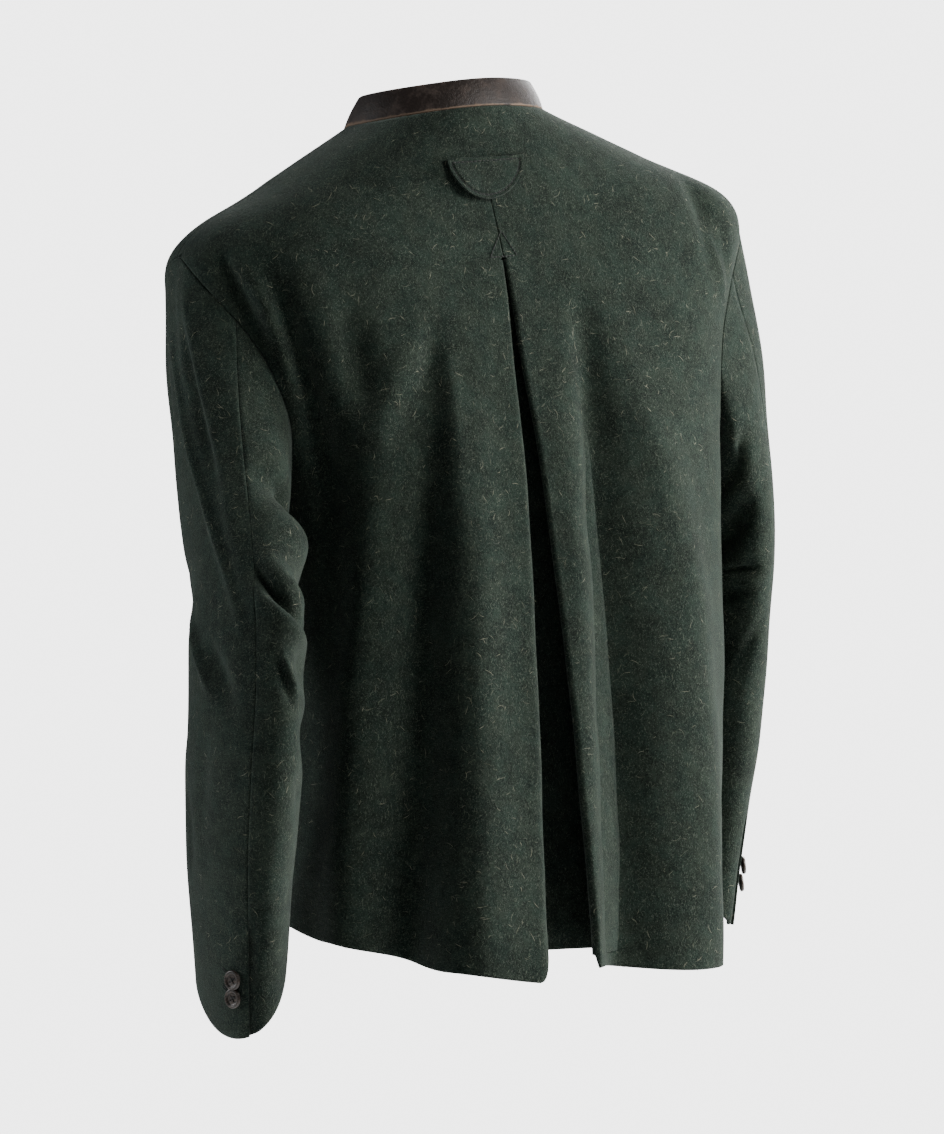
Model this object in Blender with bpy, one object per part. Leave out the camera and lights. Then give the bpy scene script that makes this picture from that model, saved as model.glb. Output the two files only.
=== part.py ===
"""A loose hip-length jacket of felted wool with a leather band collar, hollow as it is worn.

Metres, +Z up. The wearer faces -Y, so the back is +Y and the wearer's left is +X.
The origin is midway between the two neck points of the shoulder seams, where the wearer holds it up.
Each cloth piece is a wall: an outer surface read from a table of sections, moved in by its thickness.
"""

import math

import bmesh
import bpy
from mathutils import Matrix, Vector

CLOTH = 0.0022
LEATHER = 0.0028
SEAM_GAP = 0.0003
FRONT_OVERLAP = 0.018
COLLAR_HEIGHT = 0.022
PLEAT_DEPTH = 0.048
TAB_RADIUS = 0.033
FRONT_BUTTON_RADIUS = 0.0100
CUFF_BUTTON_RADIUS = 0.0074
FRONT_BUTTON_COUNT = 5
BUTTON_CLEAR = 0.0008
KISS_SPACING = 0.0116
VENT_LENGTH = 0.085
VENT_LAP = 0.016
SHOULDER_DROP = 0.115
COLLAR_GAP = 0.0015
COLLAR_LEAN = 0.013
TAB_X, TAB_TOP_Z = 0.011, -0.034

COLOURS = {
    "wool": ((0.022, 0.035, 0.027, 1.0), 0.95),
    "leather": ((0.045, 0.030, 0.023, 1.0), 0.5),
    "horn": ((0.030, 0.022, 0.018, 1.0), 0.3),
}


# Tables. A row is a section, and the columns are named once above them.

BODY_COLUMNS = "side_z back_z front_z left right back front square shift".split()
NECK, MID_SHOULDER, TIP, MID_ARMHOLE, UNDERARM, WAIST, HIP, HEM = range(8)
BODY = (
    (0.000, 0.004, -0.056, 0.080, 0.083, 0.065, 0.068, 2.00, 0.0090),
    (-0.040, -0.050, -0.105, 0.148, 0.172, 0.077, 0.090, 2.15, 0.0110),
    (-0.090, -0.113, -0.155, 0.232, 0.250, 0.088, 0.104, 2.45, 0.0020),
    (-0.185, -0.205, -0.220, 0.206, 0.226, 0.108, 0.118, 2.90, -0.0030),
    (-0.290, -0.295, -0.295, 0.170, 0.208, 0.128, 0.124, 3.00, -0.0060),
    (-0.430, -0.430, -0.430, 0.167, 0.203, 0.150, 0.126, 2.90, -0.0080),
    (-0.555, -0.555, -0.555, 0.167, 0.195, 0.170, 0.128, 2.70, -0.0070),
    (-0.660, -0.660, -0.660, 0.168, 0.187, 0.188, 0.132, 2.50, -0.0060),
)

# Height of the hem round the body: 0 degrees is the left side, 90 the centre back.
HEM_COLUMNS = "angle height".split()
HEM_LINE = (
    (0, -0.614),
    (30, -0.628),
    (60, -0.647),
    (86, -0.657),
    (98, -0.648),
    (125, -0.655),
    (150, -0.654),
    (178, -0.640),
    (270, -0.640),
    (330, -0.622),
)

# Soft folds of the body: a depth under zero is a trough.
FOLD_COLUMNS = "top_z low_z top_angle low_angle width depth".split()
BODY_FOLDS = (
    (-0.15, -1.05, 58.0, 48.0, 10.0, -0.017),
    (-0.20, -1.10, 36.0, 31.0, 8.0, 0.006),
    (-0.14, -1.20, 75.0, 71.0, 9.0, 0.006),
    (-0.06, -0.34, 15.0, 36.0, 7.0, -0.005),
    (-0.12, -0.45, 27.0, 33.0, 7.0, -0.006),
    (-0.15, -0.95, 116.0, 117.0, 9.0, -0.013),
    (-0.16, -1.10, 141.0, 146.0, 10.0, 0.005),
    (-0.25, -1.10, 196.0, 190.0, 12.0, -0.007),
    (-0.20, -1.05, 232.0, 236.0, 11.0, -0.008),
    (-0.22, -1.05, 306.0, 302.0, 11.0, -0.008),
    (-0.28, -1.10, 342.0, 345.0, 10.0, -0.005),
)

SLEEVE_COLUMNS = "x y z out deep rise tilt twist".split()
LEFT_SLEEVE = (
    (0.199, 0.002, -0.190, 0.035, 0.080, 0.100, 0.000, 0.0),
    (0.205, 0.020, -0.237, 0.034, 0.080, 0.073, 0.000, -2.0),
    (0.208, 0.045, -0.288, 0.035, 0.078, 0.042, -0.004, -5.0),
    (0.213, 0.074, -0.338, 0.036, 0.074, 0.020, -0.006, -8.0),
    (0.221, 0.100, -0.390, 0.036, 0.071, 0.006, -0.006, -10.0),
    (0.228, 0.110, -0.447, 0.036, 0.069, 0.000, -0.008, -10.0),
    (0.227, 0.101, -0.507, 0.034, 0.066, -0.006, -0.014, -10.0),
    (0.221, 0.086, -0.565, 0.031, 0.061, -0.018, -0.022, -9.0),
    (0.213, 0.070, -0.621, 0.027, 0.055, -0.034, -0.031, -8.0),
)
RIGHT_SLEEVE = (
    (0.231, -0.002, -0.190, 0.017, 0.080, 0.100, 0.000, 0.0),
    (0.241, -0.002, -0.238, 0.023, 0.080, 0.072, 0.000, -2.0),
    (0.247, -0.006, -0.288, 0.027, 0.077, 0.042, -0.002, -5.0),
    (0.250, -0.012, -0.338, 0.031, 0.073, 0.020, -0.004, -8.0),
    (0.252, -0.018, -0.390, 0.034, 0.070, 0.006, -0.006, -10.0),
    (0.252, -0.025, -0.447, 0.035, 0.068, 0.000, -0.008, -10.0),
    (0.249, -0.031, -0.507, 0.034, 0.065, -0.006, -0.014, -10.0),
    (0.244, -0.036, -0.569, 0.031, 0.060, -0.016, -0.020, -9.0),
    (0.240, -0.040, -0.632, 0.027, 0.054, -0.026, -0.028, -8.0),
)

# Creases of a sleeve, along 0 to 1 from armhole to cuff, round in degrees from the outer side.
CREASE_COLUMNS = "along round slant length width depth".split()
SLEEVE_CREASES = (
    (0.38, 150.0, 50.0, 0.090, 26.0, -0.009),
    (0.50, 135.0, 60.0, 0.080, 24.0, -0.009),
    (0.62, 150.0, 60.0, 0.080, 26.0, -0.006),
    (0.42, 330.0, -60.0, 0.090, 28.0, -0.006),
    (0.58, 300.0, 50.0, 0.080, 28.0, -0.006),
)


def at(columns, rows, column, where):
    """A column of a table at a row number that may lie between rows, on a Catmull-Rom curve."""
    index = columns.index(column)
    last = len(rows) - 1
    low = min(max(int(math.floor(where)), 0), last - 1)
    share = where - low
    before, start, end, after = (rows[min(max(low + k, 0), last)][index] for k in (-1, 0, 1, 2))
    if low == 0:
        before = 2 * start - end
    if low == last - 1:
        after = 2 * end - start
    bend = 2 * before - 5 * start + 4 * end - after
    twist = 3 * (start - end) + after - before
    return 0.5 * (2 * start + share * (end - before + share * (bend + share * twist)))


def smooth(low, high, value):
    """0 below low and 1 above high, with a soft step between them."""
    share = min(max((value - low) / (high - low), 0.0), 1.0)
    return share * share * (3 - 2 * share)


def bell(distance, width):
    return math.exp(-((distance / width) ** 2))


def hem_height(angle):
    """The hem's height at an angle, on a smooth curve through its table."""
    angle %= 360
    ring = [(a - 360, z) for a, z in HEM_LINE[-2:]] + list(HEM_LINE)
    ring += [(a + 360, z) for a, z in HEM_LINE[:2]]
    for (a0, z0), (a1, z1) in zip(ring, ring[1:]):
        if a0 <= angle < a1:
            return z0 + (z1 - z0) * smooth(a0, a1, angle)
    return HEM_LINE[0][1]


# The body's outer surface.

def posed(point, sleeve=False):
    """The stance: the left shoulder and sleeve hang lower than the right, and the hem stays level."""
    x, y, z = point
    drop = SHOULDER_DROP * (1.0 if sleeve else smooth(-0.64, -0.32, z))
    return Vector((x, y, z - drop * x))


def fold_depth(angle, z):
    """How far the folds move the body's surface out at an angle and a height."""
    total = 0.0
    for top_z, low_z, top_angle, low_angle, width, depth in BODY_FOLDS:
        share = (top_z - z) / (top_z - low_z)
        if 0 < share < 1:
            away = (angle - top_angle - (low_angle - top_angle) * share + 180) % 360 - 180
            spread = width * (0.75 + 0.9 * share)
            fade = min(smooth(0, 0.22, share), smooth(0, 0.3, 1 - share))
            total += depth * fade * bell(away, spread)
    return total


def body_flat(w, angle):
    """A point of the body's outer surface before the stance, at a level and an angle in degrees."""
    turn = math.radians(angle)
    along, across = math.cos(turn), math.sin(turn)
    half = at(BODY_COLUMNS, BODY, "left" if along >= 0 else "right", w)
    deep = at(BODY_COLUMNS, BODY, "back" if across >= 0 else "front", w)
    square = at(BODY_COLUMNS, BODY, "square", w)
    reach = (abs(along / half) ** square + abs(across / deep) ** square) ** (-1 / square)
    side_z = at(BODY_COLUMNS, BODY, "side_z", w)
    end_z = at(BODY_COLUMNS, BODY, "back_z" if across >= 0 else "front_z", w)
    z = side_z + (end_z - side_z) * across * across
    waist_z, level_hem = BODY[WAIST][0], BODY[HEM][0]
    if z < waist_z:
        z = waist_z + (z - waist_z) * (hem_height(angle) - waist_z) / (level_hem - waist_z)
    reach += fold_depth(angle, z)
    shift = at(BODY_COLUMNS, BODY, "shift", w)
    return Vector((shift + reach * along, reach * across, z))


def body_normal(w, angle):
    low, high = max(w - 0.02, 0.0), min(w + 0.02, float(HEM))
    down = body_flat(high, angle) - body_flat(low, angle)
    round_it = body_flat(w, angle + 0.5) - body_flat(w, angle - 0.5)
    return round_it.cross(-down).normalized()


# Where the armhole cuts the body: an oval in level and angle.

BACK_SCYE, FRONT_SCYE, SCYE_LOW = 18.5, 21.5, 0.5
ARMHOLE_STEPS = 11
HIND_SEAM, FORE_SEAM = 4, 15
MID_W = (TIP + UNDERARM) / 2
HALF_W = (UNDERARM - TIP) / 2


def armhole(turn):
    """Level and angle on the body's left side: 0 degrees is the shoulder tip, 90 the back, 180 the underarm."""
    low, side = -math.cos(math.radians(turn)), math.sin(math.radians(turn))
    reach = BACK_SCYE if side >= 0 else FRONT_SCYE
    return MID_W + HALF_W * low, reach * side * (1 + SCYE_LOW * low)


def scye(w, reach):
    """How many degrees the armhole takes from a panel at a level: most of it low down."""
    low = (w - MID_W) / HALF_W
    return reach * math.sqrt(max(1 - low * low, 0.0)) * (1 + SCYE_LOW * low)


ARMHOLE_LEVELS = [armhole(180 * k / ARMHOLE_STEPS)[0] for k in range(ARMHOLE_STEPS + 1)]
EVEN_LEVELS = [TIP + 2 * HALF_W * k / ARMHOLE_STEPS for k in range(ARMHOLE_STEPS + 1)]
ABOVE = [NECK, 0.3, 0.65, MID_SHOULDER, 1.35, 1.7]
BELOW = [4.3, 4.65, WAIST, 5.35, 5.7, HIP, 6.33, 6.66, HEM]
LEVELS = [(w, w) for w in ABOVE] + list(zip(ARMHOLE_LEVELS, EVEN_LEVELS)) + [(w, w) for w in BELOW]
TACK_ROW = len(ABOVE)


def level_at(row, share):
    """The level of a row of points: it leaves the armhole's own levels for even ones away from the edge."""
    edge, even = LEVELS[row]
    return edge + (even - edge) * smooth(0, 0.4, share)


# Walls.

def collection(name):
    group = bpy.data.collections.new(name)
    bpy.context.scene.collection.children.link(group)
    return group


def material(name):
    colour, roughness = COLOURS[name]
    made = bpy.data.materials.get(name) or bpy.data.materials.new(name)
    made.use_nodes = True
    shader = made.node_tree.nodes["Principled BSDF"]
    shader.inputs["Base Color"].default_value = colour
    shader.inputs["Roughness"].default_value = roughness
    shader.inputs["Metallic"].default_value = 0.0
    return made


def split(quad, points):
    """Two triangles of a quad along its shorter diagonal, the same for both faces of a wall."""
    if len(quad) < 4:
        return [quad]
    a, b, c, d = quad
    if (points[a] - points[c]).length <= (points[b] - points[d]).length:
        return [[a, b, c], [a, c, d]]
    return [[a, b, d], [b, c, d]]


def wall(name, outer, inner, quads, finish, group):
    """A closed wall between two sets of points with the same keys. What bounds the quads is closed by a rim."""
    mesh = bmesh.new()
    top = {key: mesh.verts.new(point) for key, point in outer.items()}
    under = {key: mesh.verts.new(point) for key, point in inner.items()}
    sides = {}
    for quad in quads:
        for corners in split(quad, outer):
            mesh.faces.new([top[key] for key in corners])
            mesh.faces.new([under[key] for key in reversed(corners)])
        for start, end in zip(quad, quad[1:] + quad[:1]):
            sides[(start, end)] = True
    for start, end in sides:
        if (end, start) not in sides:
            mesh.faces.new([top[end], top[start], under[start], under[end]])
    bmesh.ops.recalc_face_normals(mesh, faces=mesh.faces)
    data = bpy.data.meshes.new(name)
    mesh.to_mesh(data)
    mesh.free()
    data.shade_smooth()
    made = bpy.data.objects.new(name, data)
    made.data.materials.append(material(finish))
    group.objects.link(made)
    return made


def grid_quads(rows, columns):
    return [
        [(i, j), (i, j + 1), (i + 1, j + 1), (i + 1, j)]
        for i in range(rows - 1)
        for j in range(columns - 1)
    ]


# The back: one piece, closed down to the tack and folded into an inverted pleat below it.

BACK_STEPS = 13
FOLD_STEPS = 4
RETURN_STEPS = 3


def pleat_gap(z):
    """Half the width that the pleat stands open, at a height."""
    return 0.0004 + 0.0355 * max(-0.116 - z, 0.0)


def pleat_sink(z):
    """How far in the pleat's underlay lies."""
    return 0.0066 + 0.034 * min(max((-0.12 - z) / 0.53, 0.0), 1.0)


def fold_radius(z, left):
    """The roll of a pleat edge: soft on the left at the hem, pressed on the right."""
    low = 0.011 if left else 0.0045
    return 0.0025 + (low - 0.0025) * min(max((-0.12 - z) / 0.53, 0.0), 1.0)


def angle_at_x(w, x, guess=90.0):
    """The angle near the centre back or front at which a level's ring has this x."""
    angle = guess
    for _ in range(8):
        here = body_flat(w, angle).x
        slope = (body_flat(w, angle + 0.5).x - body_flat(w, angle - 0.5).x)
        angle -= (here - x) / slope
    return angle


def pleat_path(w, left):
    """Points and normals from a pleat's panel edge round its roll and in to the underlay, at a level."""
    side = 1 if left else -1
    middle = body_flat(w, 90)
    z = middle.z
    radius, gap, sink = fold_radius(z, left), pleat_gap(z), pleat_sink(z)
    edge_angle = angle_at_x(w, middle.x + side * (gap + radius))
    start = body_flat(w, edge_angle)
    centre = start - Vector((0, radius, 0))
    path = []
    inner_turn = math.atan2(sink - 2 * radius, PLEAT_DEPTH)
    whole = math.pi - inner_turn
    for k in range(1, FOLD_STEPS + 1):
        turn = whole * k / FOLD_STEPS
        out = Vector((-side * math.sin(turn), math.cos(turn), 0))
        path.append((centre + out * radius, out))
    last, out = path[-1]
    way = Vector((side * math.cos(inner_turn), -math.sin(inner_turn), 0))
    rise = Vector((0, 0, 0.008 * smooth(-0.45, -0.65, z)))
    for k in range(1, RETURN_STEPS + 1):
        share = k / RETURN_STEPS
        path.append((last + way * PLEAT_DEPTH * share + rise * share, out))
    return edge_angle, path


def back_angle(row, share, left):
    """The angle of a back panel's column, from its side seam or armhole to the centre or the pleat's edge."""
    edge, even = LEVELS[row]
    half_gap = math.degrees(SEAM_GAP / 2 / at(BODY_COLUMNS, BODY, "left", edge))
    taken = (scye(edge, BACK_SCYE) if TIP <= edge <= UNDERARM else 0.0) + half_gap
    end = 90.0
    if row > TACK_ROW:
        end = pleat_path(even, left)[0]
        end = end if left else 180 - end
    return end * share + taken * (1 - share) ** 3


def build_back(group):
    outer, inner, quads = {}, {}, []
    for i in range(len(LEVELS)):
        open_here = i > TACK_ROW
        for left in (True, False):
            for j in range(BACK_STEPS + 1):
                share = j / BACK_STEPS
                angle, w = back_angle(i, share, left), level_at(i, share)
                angle = angle if left else 180 - angle
                key = ("mid", i) if j == BACK_STEPS and not open_here else (left, i, j)
                flat = body_flat(w, angle)
                outer[key] = posed(flat)
                inner[key] = posed(flat - CLOTH * body_normal(w, angle))
            if open_here:
                for k, (flat, out) in enumerate(pleat_path(LEVELS[i][1], left)[1]):
                    outer[(left, i, BACK_STEPS + 1 + k)] = posed(flat)
                    inner[(left, i, BACK_STEPS + 1 + k)] = posed(flat - CLOTH * out)
    for left in (True, False):
        for i in range(len(LEVELS) - 1):
            count = BACK_STEPS + (FOLD_STEPS + RETURN_STEPS if i > TACK_ROW else 0)
            for j in range(count):
                quad = [(left, i, j), (left, i, j + 1), (left, i + 1, j + 1), (left, i + 1, j)]
                quad = [("mid", q[1]) if q[2] == BACK_STEPS and q[1] <= TACK_ROW else q for q in quad]
                quads.append(quad if not left else quad[::-1])
    return wall("back", outer, inner, quads, "wool", group)


def build_underlay(group):
    """The pleat's inner strip, which lies across the two folded edges on the inside."""
    steps = 8
    outer, inner = {}, {}
    rows = [even for _, even in LEVELS[TACK_ROW + 1:]]
    for i, w in enumerate(rows):
        ends = []
        for left in (True, False):
            point, out = pleat_path(w, left)[1][-1]
            side = 1 if left else -1
            ends.append(point + Vector((-side * 0.002, 0, 0)))
        low = min(ends[0].y, ends[1].y) - SEAM_GAP
        z = (ends[0].z + ends[1].z) / 2
        lift = 0.003 * smooth(-0.45, -0.65, z)
        for j in range(steps + 1):
            share = j / steps
            x = ends[0].x + (ends[1].x - ends[0].x) * share
            point = Vector((x, low - 0.0001 - 0.004 * math.sin(math.pi * share), z + lift))
            outer[(i, j)] = posed(point)
            inner[(i, j)] = posed(point - Vector((0, CLOTH, 0)))
    quads = grid_quads(len(rows), steps + 1)
    return wall("pleat_underlay", outer, inner, quads, "wool", group)


# The fronts: the left laps over the right at the centre front.

FRONT_STEPS = 13


def front_end(w, left):
    """The angle of a front panel's free edge."""
    return angle_at_x(w, -FRONT_OVERLAP if left else FRONT_OVERLAP, 270.0)


def front_inset(x, left):
    """The right front sinks under the left where they lap."""
    return 0.0 if left else (CLOTH + 2 * SEAM_GAP) * smooth(-0.050, -0.024, x)


def front_angle(row, share, left):
    """The angle of a front panel's column, from its side seam or armhole to its free edge."""
    edge, even = LEVELS[row]
    half_gap = math.degrees(SEAM_GAP / 2 / at(BODY_COLUMNS, BODY, "left", edge))
    taken = (scye(edge, FRONT_SCYE) if TIP <= edge <= UNDERARM else 0.0) + half_gap
    side, way = (360, -1) if left else (180, 1)
    return side + (front_end(even, left) - side) * share + way * taken * (1 - share) ** 3


def build_front(name, left, group):
    outer, inner = {}, {}
    for i in range(len(LEVELS)):
        for j in range(FRONT_STEPS + 1):
            share = j / FRONT_STEPS
            angle, w = front_angle(i, share, left), level_at(i, share)
            flat = body_flat(w, angle)
            normal = body_normal(w, angle)
            flat -= normal * front_inset(flat.x, left)
            outer[(i, j)] = posed(flat)
            inner[(i, j)] = posed(flat - CLOTH * normal)
    quads = grid_quads(len(LEVELS), FRONT_STEPS + 1)
    return wall(name, outer, inner, quads, "wool", group)


# The sleeves: each is a top piece and an under piece, with a buttoned vent in the hind seam.

SLEEVE_ROWS = 26
BLEND = 0.42


def tube_point(rows, v, turn):
    """A point of the sleeve's own tube on the left side, at 0 to 1 along and an angle round."""
    where = v * (len(rows) - 1)
    x, y, z, out, deep, rise, tilt, twist = (at(SLEEVE_COLUMNS, rows, c, where) for c in SLEEVE_COLUMNS)
    along, across_it = math.cos(math.radians(turn + twist)), math.sin(math.radians(turn + twist))
    return Vector((x + out * along, y + deep * across_it, z + rise * along + tilt * across_it))


def crease_depth(v, turn):
    total = 0.0
    for along, round_it, slant, length, width, depth in SLEEVE_CREASES:
        away = (turn - round_it + 180) % 360 - 180
        total += depth * bell(v - along - away / slant * 0.05, length * 0.5) * bell(away, width)
    return total


def hollow(turn):
    """0 over the shoulder, where sleeve and body make a ridge, and 1 where they meet in a hollow."""
    return smooth(35, 80, abs((turn + 180) % 360 - 180))


def sleeve_flat(side, rows, v, turn):
    """A point of a sleeve's outer surface before the stance. side is 1 on the left and -1 on the right."""
    flat = tube_point(rows, v, turn)
    level, angle = armhole(turn)
    step = math.degrees(SEAM_GAP * 1.5 / BODY[MID_ARMHOLE][3])
    angle -= step * math.sin(math.radians(turn))
    level += 0.006 * math.cos(math.radians(turn))
    edge_angle = angle if side > 0 else 180 - angle
    edge = body_flat(level, edge_angle) + body_normal(level, edge_angle) * (2 * SEAM_GAP * hollow(turn))
    edge.x *= side
    start = tube_point(rows, 0, turn)
    fade = 1 - smooth(0, BLEND, v)
    flat += (edge - start) * fade
    out = Vector((math.cos(math.radians(turn)), math.sin(math.radians(turn)), 0))
    flat += out * crease_depth(v, turn) * smooth(0.04, 0.2, v)
    flat.x *= side
    return flat


def sleeve_normal(side, rows, v, turn):
    ahead, behind = min(v + 0.01, 1.0), max(v - 0.01, 0.0)
    down = sleeve_flat(side, rows, ahead, turn) - sleeve_flat(side, rows, behind, turn)
    round_it = sleeve_flat(side, rows, v, turn + 2) - sleeve_flat(side, rows, v, turn - 2)
    own = (round_it.cross(-down) * side).normalized()
    if v > 0:
        return own
    level, angle = armhole(turn)
    return body_normal(level, angle if side > 0 else 180 - angle).lerp(own, hollow(turn)).normalized()


def vent_share(v, sleeve_length=0.60):
    """0 above the vent and 1 in it."""
    return smooth(1 - VENT_LENGTH / sleeve_length - 0.02, 1 - VENT_LENGTH / sleeve_length + 0.02, v)


def turn_of(step):
    return 180.0 * step / ARMHOLE_STEPS


def build_sleeve(name, side, rows, under, group):
    """The top piece runs from the hind seam over the outer side to the fore seam, the under piece the other way."""
    steps = range(HIND_SEAM, FORE_SEAM + 1) if under else range(FORE_SEAM, 2 * ARMHOLE_STEPS + HIND_SEAM + 1)
    outer, inner = {}, {}
    lap_columns = (-2, -1) if under else ()
    for i in range(SLEEVE_ROWS + 1):
        v = i / SLEEVE_ROWS
        for j, step in enumerate(steps):
            turn = turn_of(step)
            half_gap = math.degrees(SEAM_GAP / 2 / 0.033) * (2.5 - 1.5 * smooth(0, 0.15, v))
            if step == steps[0]:
                turn += half_gap
            if step == steps[-1]:
                turn -= half_gap
            flat = sleeve_flat(side, rows, v, turn)
            normal = sleeve_normal(side, rows, v, turn)
            if under and j == 0:
                flat -= normal * vent_share(v) * (CLOTH + 3 * SEAM_GAP)
            outer[(i, j)] = posed(flat, True)
            inner[(i, j)] = posed(flat - CLOTH * normal, True)
        if under and vent_share(v) > 0.9:
            for lap in lap_columns:
                turn = turn_of(HIND_SEAM) + lap * math.degrees(VENT_LAP / 2 / 0.05)
                normal = sleeve_normal(side, rows, v, turn)
                flat = sleeve_flat(side, rows, v, turn) - normal * (CLOTH + 4 * SEAM_GAP)
                outer[(i, lap)] = posed(flat, True)
                inner[(i, lap)] = posed(flat - CLOTH * normal, True)
    quads = grid_quads(SLEEVE_ROWS + 1, len(steps))
    for i in range(SLEEVE_ROWS):
        if (i, -1) in outer:
            quads += [[(i, j), (i, j + 1), (i + 1, j + 1), (i + 1, j)] for j in lap_columns]
    return wall(name, outer, inner, quads, "wool", group)


# The collar: a leather band that stands on the neck seam.

COLLAR_ROWS = 4


def collar_angles():
    """The columns of the four panel edges that the collar stands on, from centre front round to centre front."""
    start = angle_at_x(NECK, COLLAR_GAP, 270.0) - 360
    end = angle_at_x(NECK, -COLLAR_GAP, 270.0)
    fronts = [front_angle(0, j / FRONT_STEPS, True) - 360 for j in range(FRONT_STEPS, 0, -1)]
    backs = [back_angle(0, j / BACK_STEPS, True) for j in range(1, BACK_STEPS + 1)]
    half = [start] + [a for a in fronts if a > start + 2] + [0.0] + backs
    other = [front_angle(0, j / FRONT_STEPS, False) for j in range(1, FRONT_STEPS + 1)]
    return half + [180 - a for a in backs[-2::-1]] + [180.0] + [a for a in other if a < end - 2] + [end]


def build_collar(group):
    outer, inner = {}, {}
    angles = collar_angles()
    for j, angle in enumerate(angles):
        foot, seam = body_flat(NECK, angle), body_normal(NECK, angle)
        out = Vector((math.cos(math.radians(angle)), math.sin(math.radians(angle)), 0))
        down = (body_flat(0.05, angle) - foot).normalized()
        foot = foot - down * SEAM_GAP * 1.6
        for i in range(COLLAR_ROWS + 1):
            share = i / COLLAR_ROWS
            flat = foot + Vector((0, 0, COLLAR_HEIGHT * share)) - out * COLLAR_LEAN * share
            way = seam.lerp(out * 0.92 + Vector((0, 0, 0.35)), smooth(0, 0.5, share)).normalized()
            outer[(i, j)] = posed(flat)
            inner[(i, j)] = posed(flat - LEATHER * way)
    quads = grid_quads(COLLAR_ROWS + 1, len(angles))
    return wall("collar", outer, inner, quads, "leather", group)


# The back tab: a half-moon of doubled cloth over the head of the centre seam.

TAB_RINGS, TAB_SPOKES = 4, 12


def on_back(x, z):
    """Level and angle of the body's back at an x and a height."""
    w, angle = 1.0, 90.0
    for _ in range(12):
        here = body_flat(w, angle)
        step_w = (body_flat(w + 0.01, angle).z - body_flat(w - 0.01, angle).z) / 0.02
        w -= (here.z - z) / step_w
        angle = angle_at_x(w, x, angle)
    return w, angle


def build_tab(group):
    outer, inner, quads = {}, {}, []
    for ring in range(TAB_RINGS + 1):
        for spoke in range(TAB_SPOKES + 1):
            reach = TAB_RADIUS * ring / TAB_RINGS
            turn = math.pi * spoke / TAB_SPOKES
            z = TAB_TOP_Z - 0.002 - reach * math.sin(turn)
            x = TAB_X + reach * math.cos(turn)
            w, angle = on_back(x, z)
            lift = 2 * SEAM_GAP + 0.0035 * smooth(0.4, 1.0, ring / TAB_RINGS) * bell(turn - 0.8, 0.6)
            normal = body_normal(w, angle)
            key = (ring, spoke) if ring else (0, 0)
            inner[key] = posed(body_flat(w, angle) + normal * lift)
            outer[key] = posed(body_flat(w, angle) + normal * (lift + CLOTH))
    for ring in range(TAB_RINGS):
        for spoke in range(TAB_SPOKES):
            if ring:
                quad = [(ring, spoke), (ring, spoke + 1), (ring + 1, spoke + 1), (ring + 1, spoke)]
            else:
                quad = [(0, 0), (1, spoke + 1), (1, spoke)]
            quads.append(quad)
    return wall("back_tab", outer, inner, quads, "wool", group)


# Buttons: turned discs with a raised rim.

def button_profile(radius):
    """Radius and height of the disc's outline, from the middle of its front round to the middle of its back."""
    return (
        (0.0, 0.0018),
        (radius * 0.62, 0.0018),
        (radius * 0.74, 0.0030),
        (radius * 0.92, 0.0030),
        (radius, 0.0020),
        (radius * 0.94, 0.0006),
        (radius * 0.60, 0.0),
        (0.0, 0.0),
    )


def build_button(name, radius, place, normal, down, tilt, group):
    """A disc at a point of the cloth, facing along its normal, its lower edge tilted out."""
    mesh = bmesh.new()
    segments = 16
    rings = []
    for reach, height in button_profile(radius):
        if reach == 0.0:
            rings.append([mesh.verts.new((0, 0, height))])
        else:
            spokes = (2 * math.pi * k / segments for k in range(segments))
            rings.append([mesh.verts.new((reach * math.cos(a), reach * math.sin(a), height)) for a in spokes])
    for ring, following in zip(rings, rings[1:]):
        for k in range(segments):
            after = (k + 1) % segments
            corners = [ring[k % len(ring)], following[k % len(following)]]
            if len(following) > 1:
                corners.append(following[after])
            if len(ring) > 1:
                corners.append(ring[after])
            mesh.faces.new(corners)
    bmesh.ops.recalc_face_normals(mesh, faces=mesh.faces)
    data = bpy.data.meshes.new(name)
    mesh.to_mesh(data)
    mesh.free()
    data.set_sharp_from_angle(angle=math.radians(40))
    made = bpy.data.objects.new(name, data)
    made.data.materials.append(material("horn"))
    side = down.cross(normal).normalized()
    down = normal.cross(side).normalized()
    made.matrix_world = (
        Matrix.Translation(place)
        @ Matrix((side, down, normal)).transposed().to_4x4()
        @ Matrix.Rotation(tilt, 4, "X")
    )
    group.objects.link(made)
    return made


KISS_TILT = math.radians(12)
FRONT_BUTTON_TOP, FRONT_BUTTON_LOW = 0.35, 6.0


def build_front_buttons(group):
    for k in range(FRONT_BUTTON_COUNT):
        w = FRONT_BUTTON_TOP + (FRONT_BUTTON_LOW - FRONT_BUTTON_TOP) * k / (FRONT_BUTTON_COUNT - 1)
        angle = angle_at_x(w, 0.0, 270.0)
        place = posed(body_flat(w, angle) + body_normal(w, angle) * BUTTON_CLEAR)
        down = posed(body_flat(w + 0.05, angle)) - posed(body_flat(w, angle))
        build_button(
            f"front_button_{k + 1}", FRONT_BUTTON_RADIUS, place, body_normal(w, angle), down, 0.0, group
        )


def build_cuff_buttons(label, side, rows, group):
    """Two overlapping buttons beside the vent on each top sleeve."""
    turn = turn_of(HIND_SEAM) - math.degrees(0.0135 / 0.05)
    for k in range(2):
        v = 1 - (0.027 + (1 - k) * KISS_SPACING) / 0.50
        flat = sleeve_flat(side, rows, v, turn)
        normal = sleeve_normal(side, rows, v, turn)
        rise = CUFF_BUTTON_RADIUS * math.sin(KISS_TILT) - 0.0002
        down = posed(sleeve_flat(side, rows, min(v + 0.03, 1.0), turn), True) - posed(flat, True)
        place = posed(flat + normal * rise, True)
        build_button(
            f"{label}_cuff_button_{k + 1}", CUFF_BUTTON_RADIUS, place, normal, down, KISS_TILT, group
        )


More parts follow.
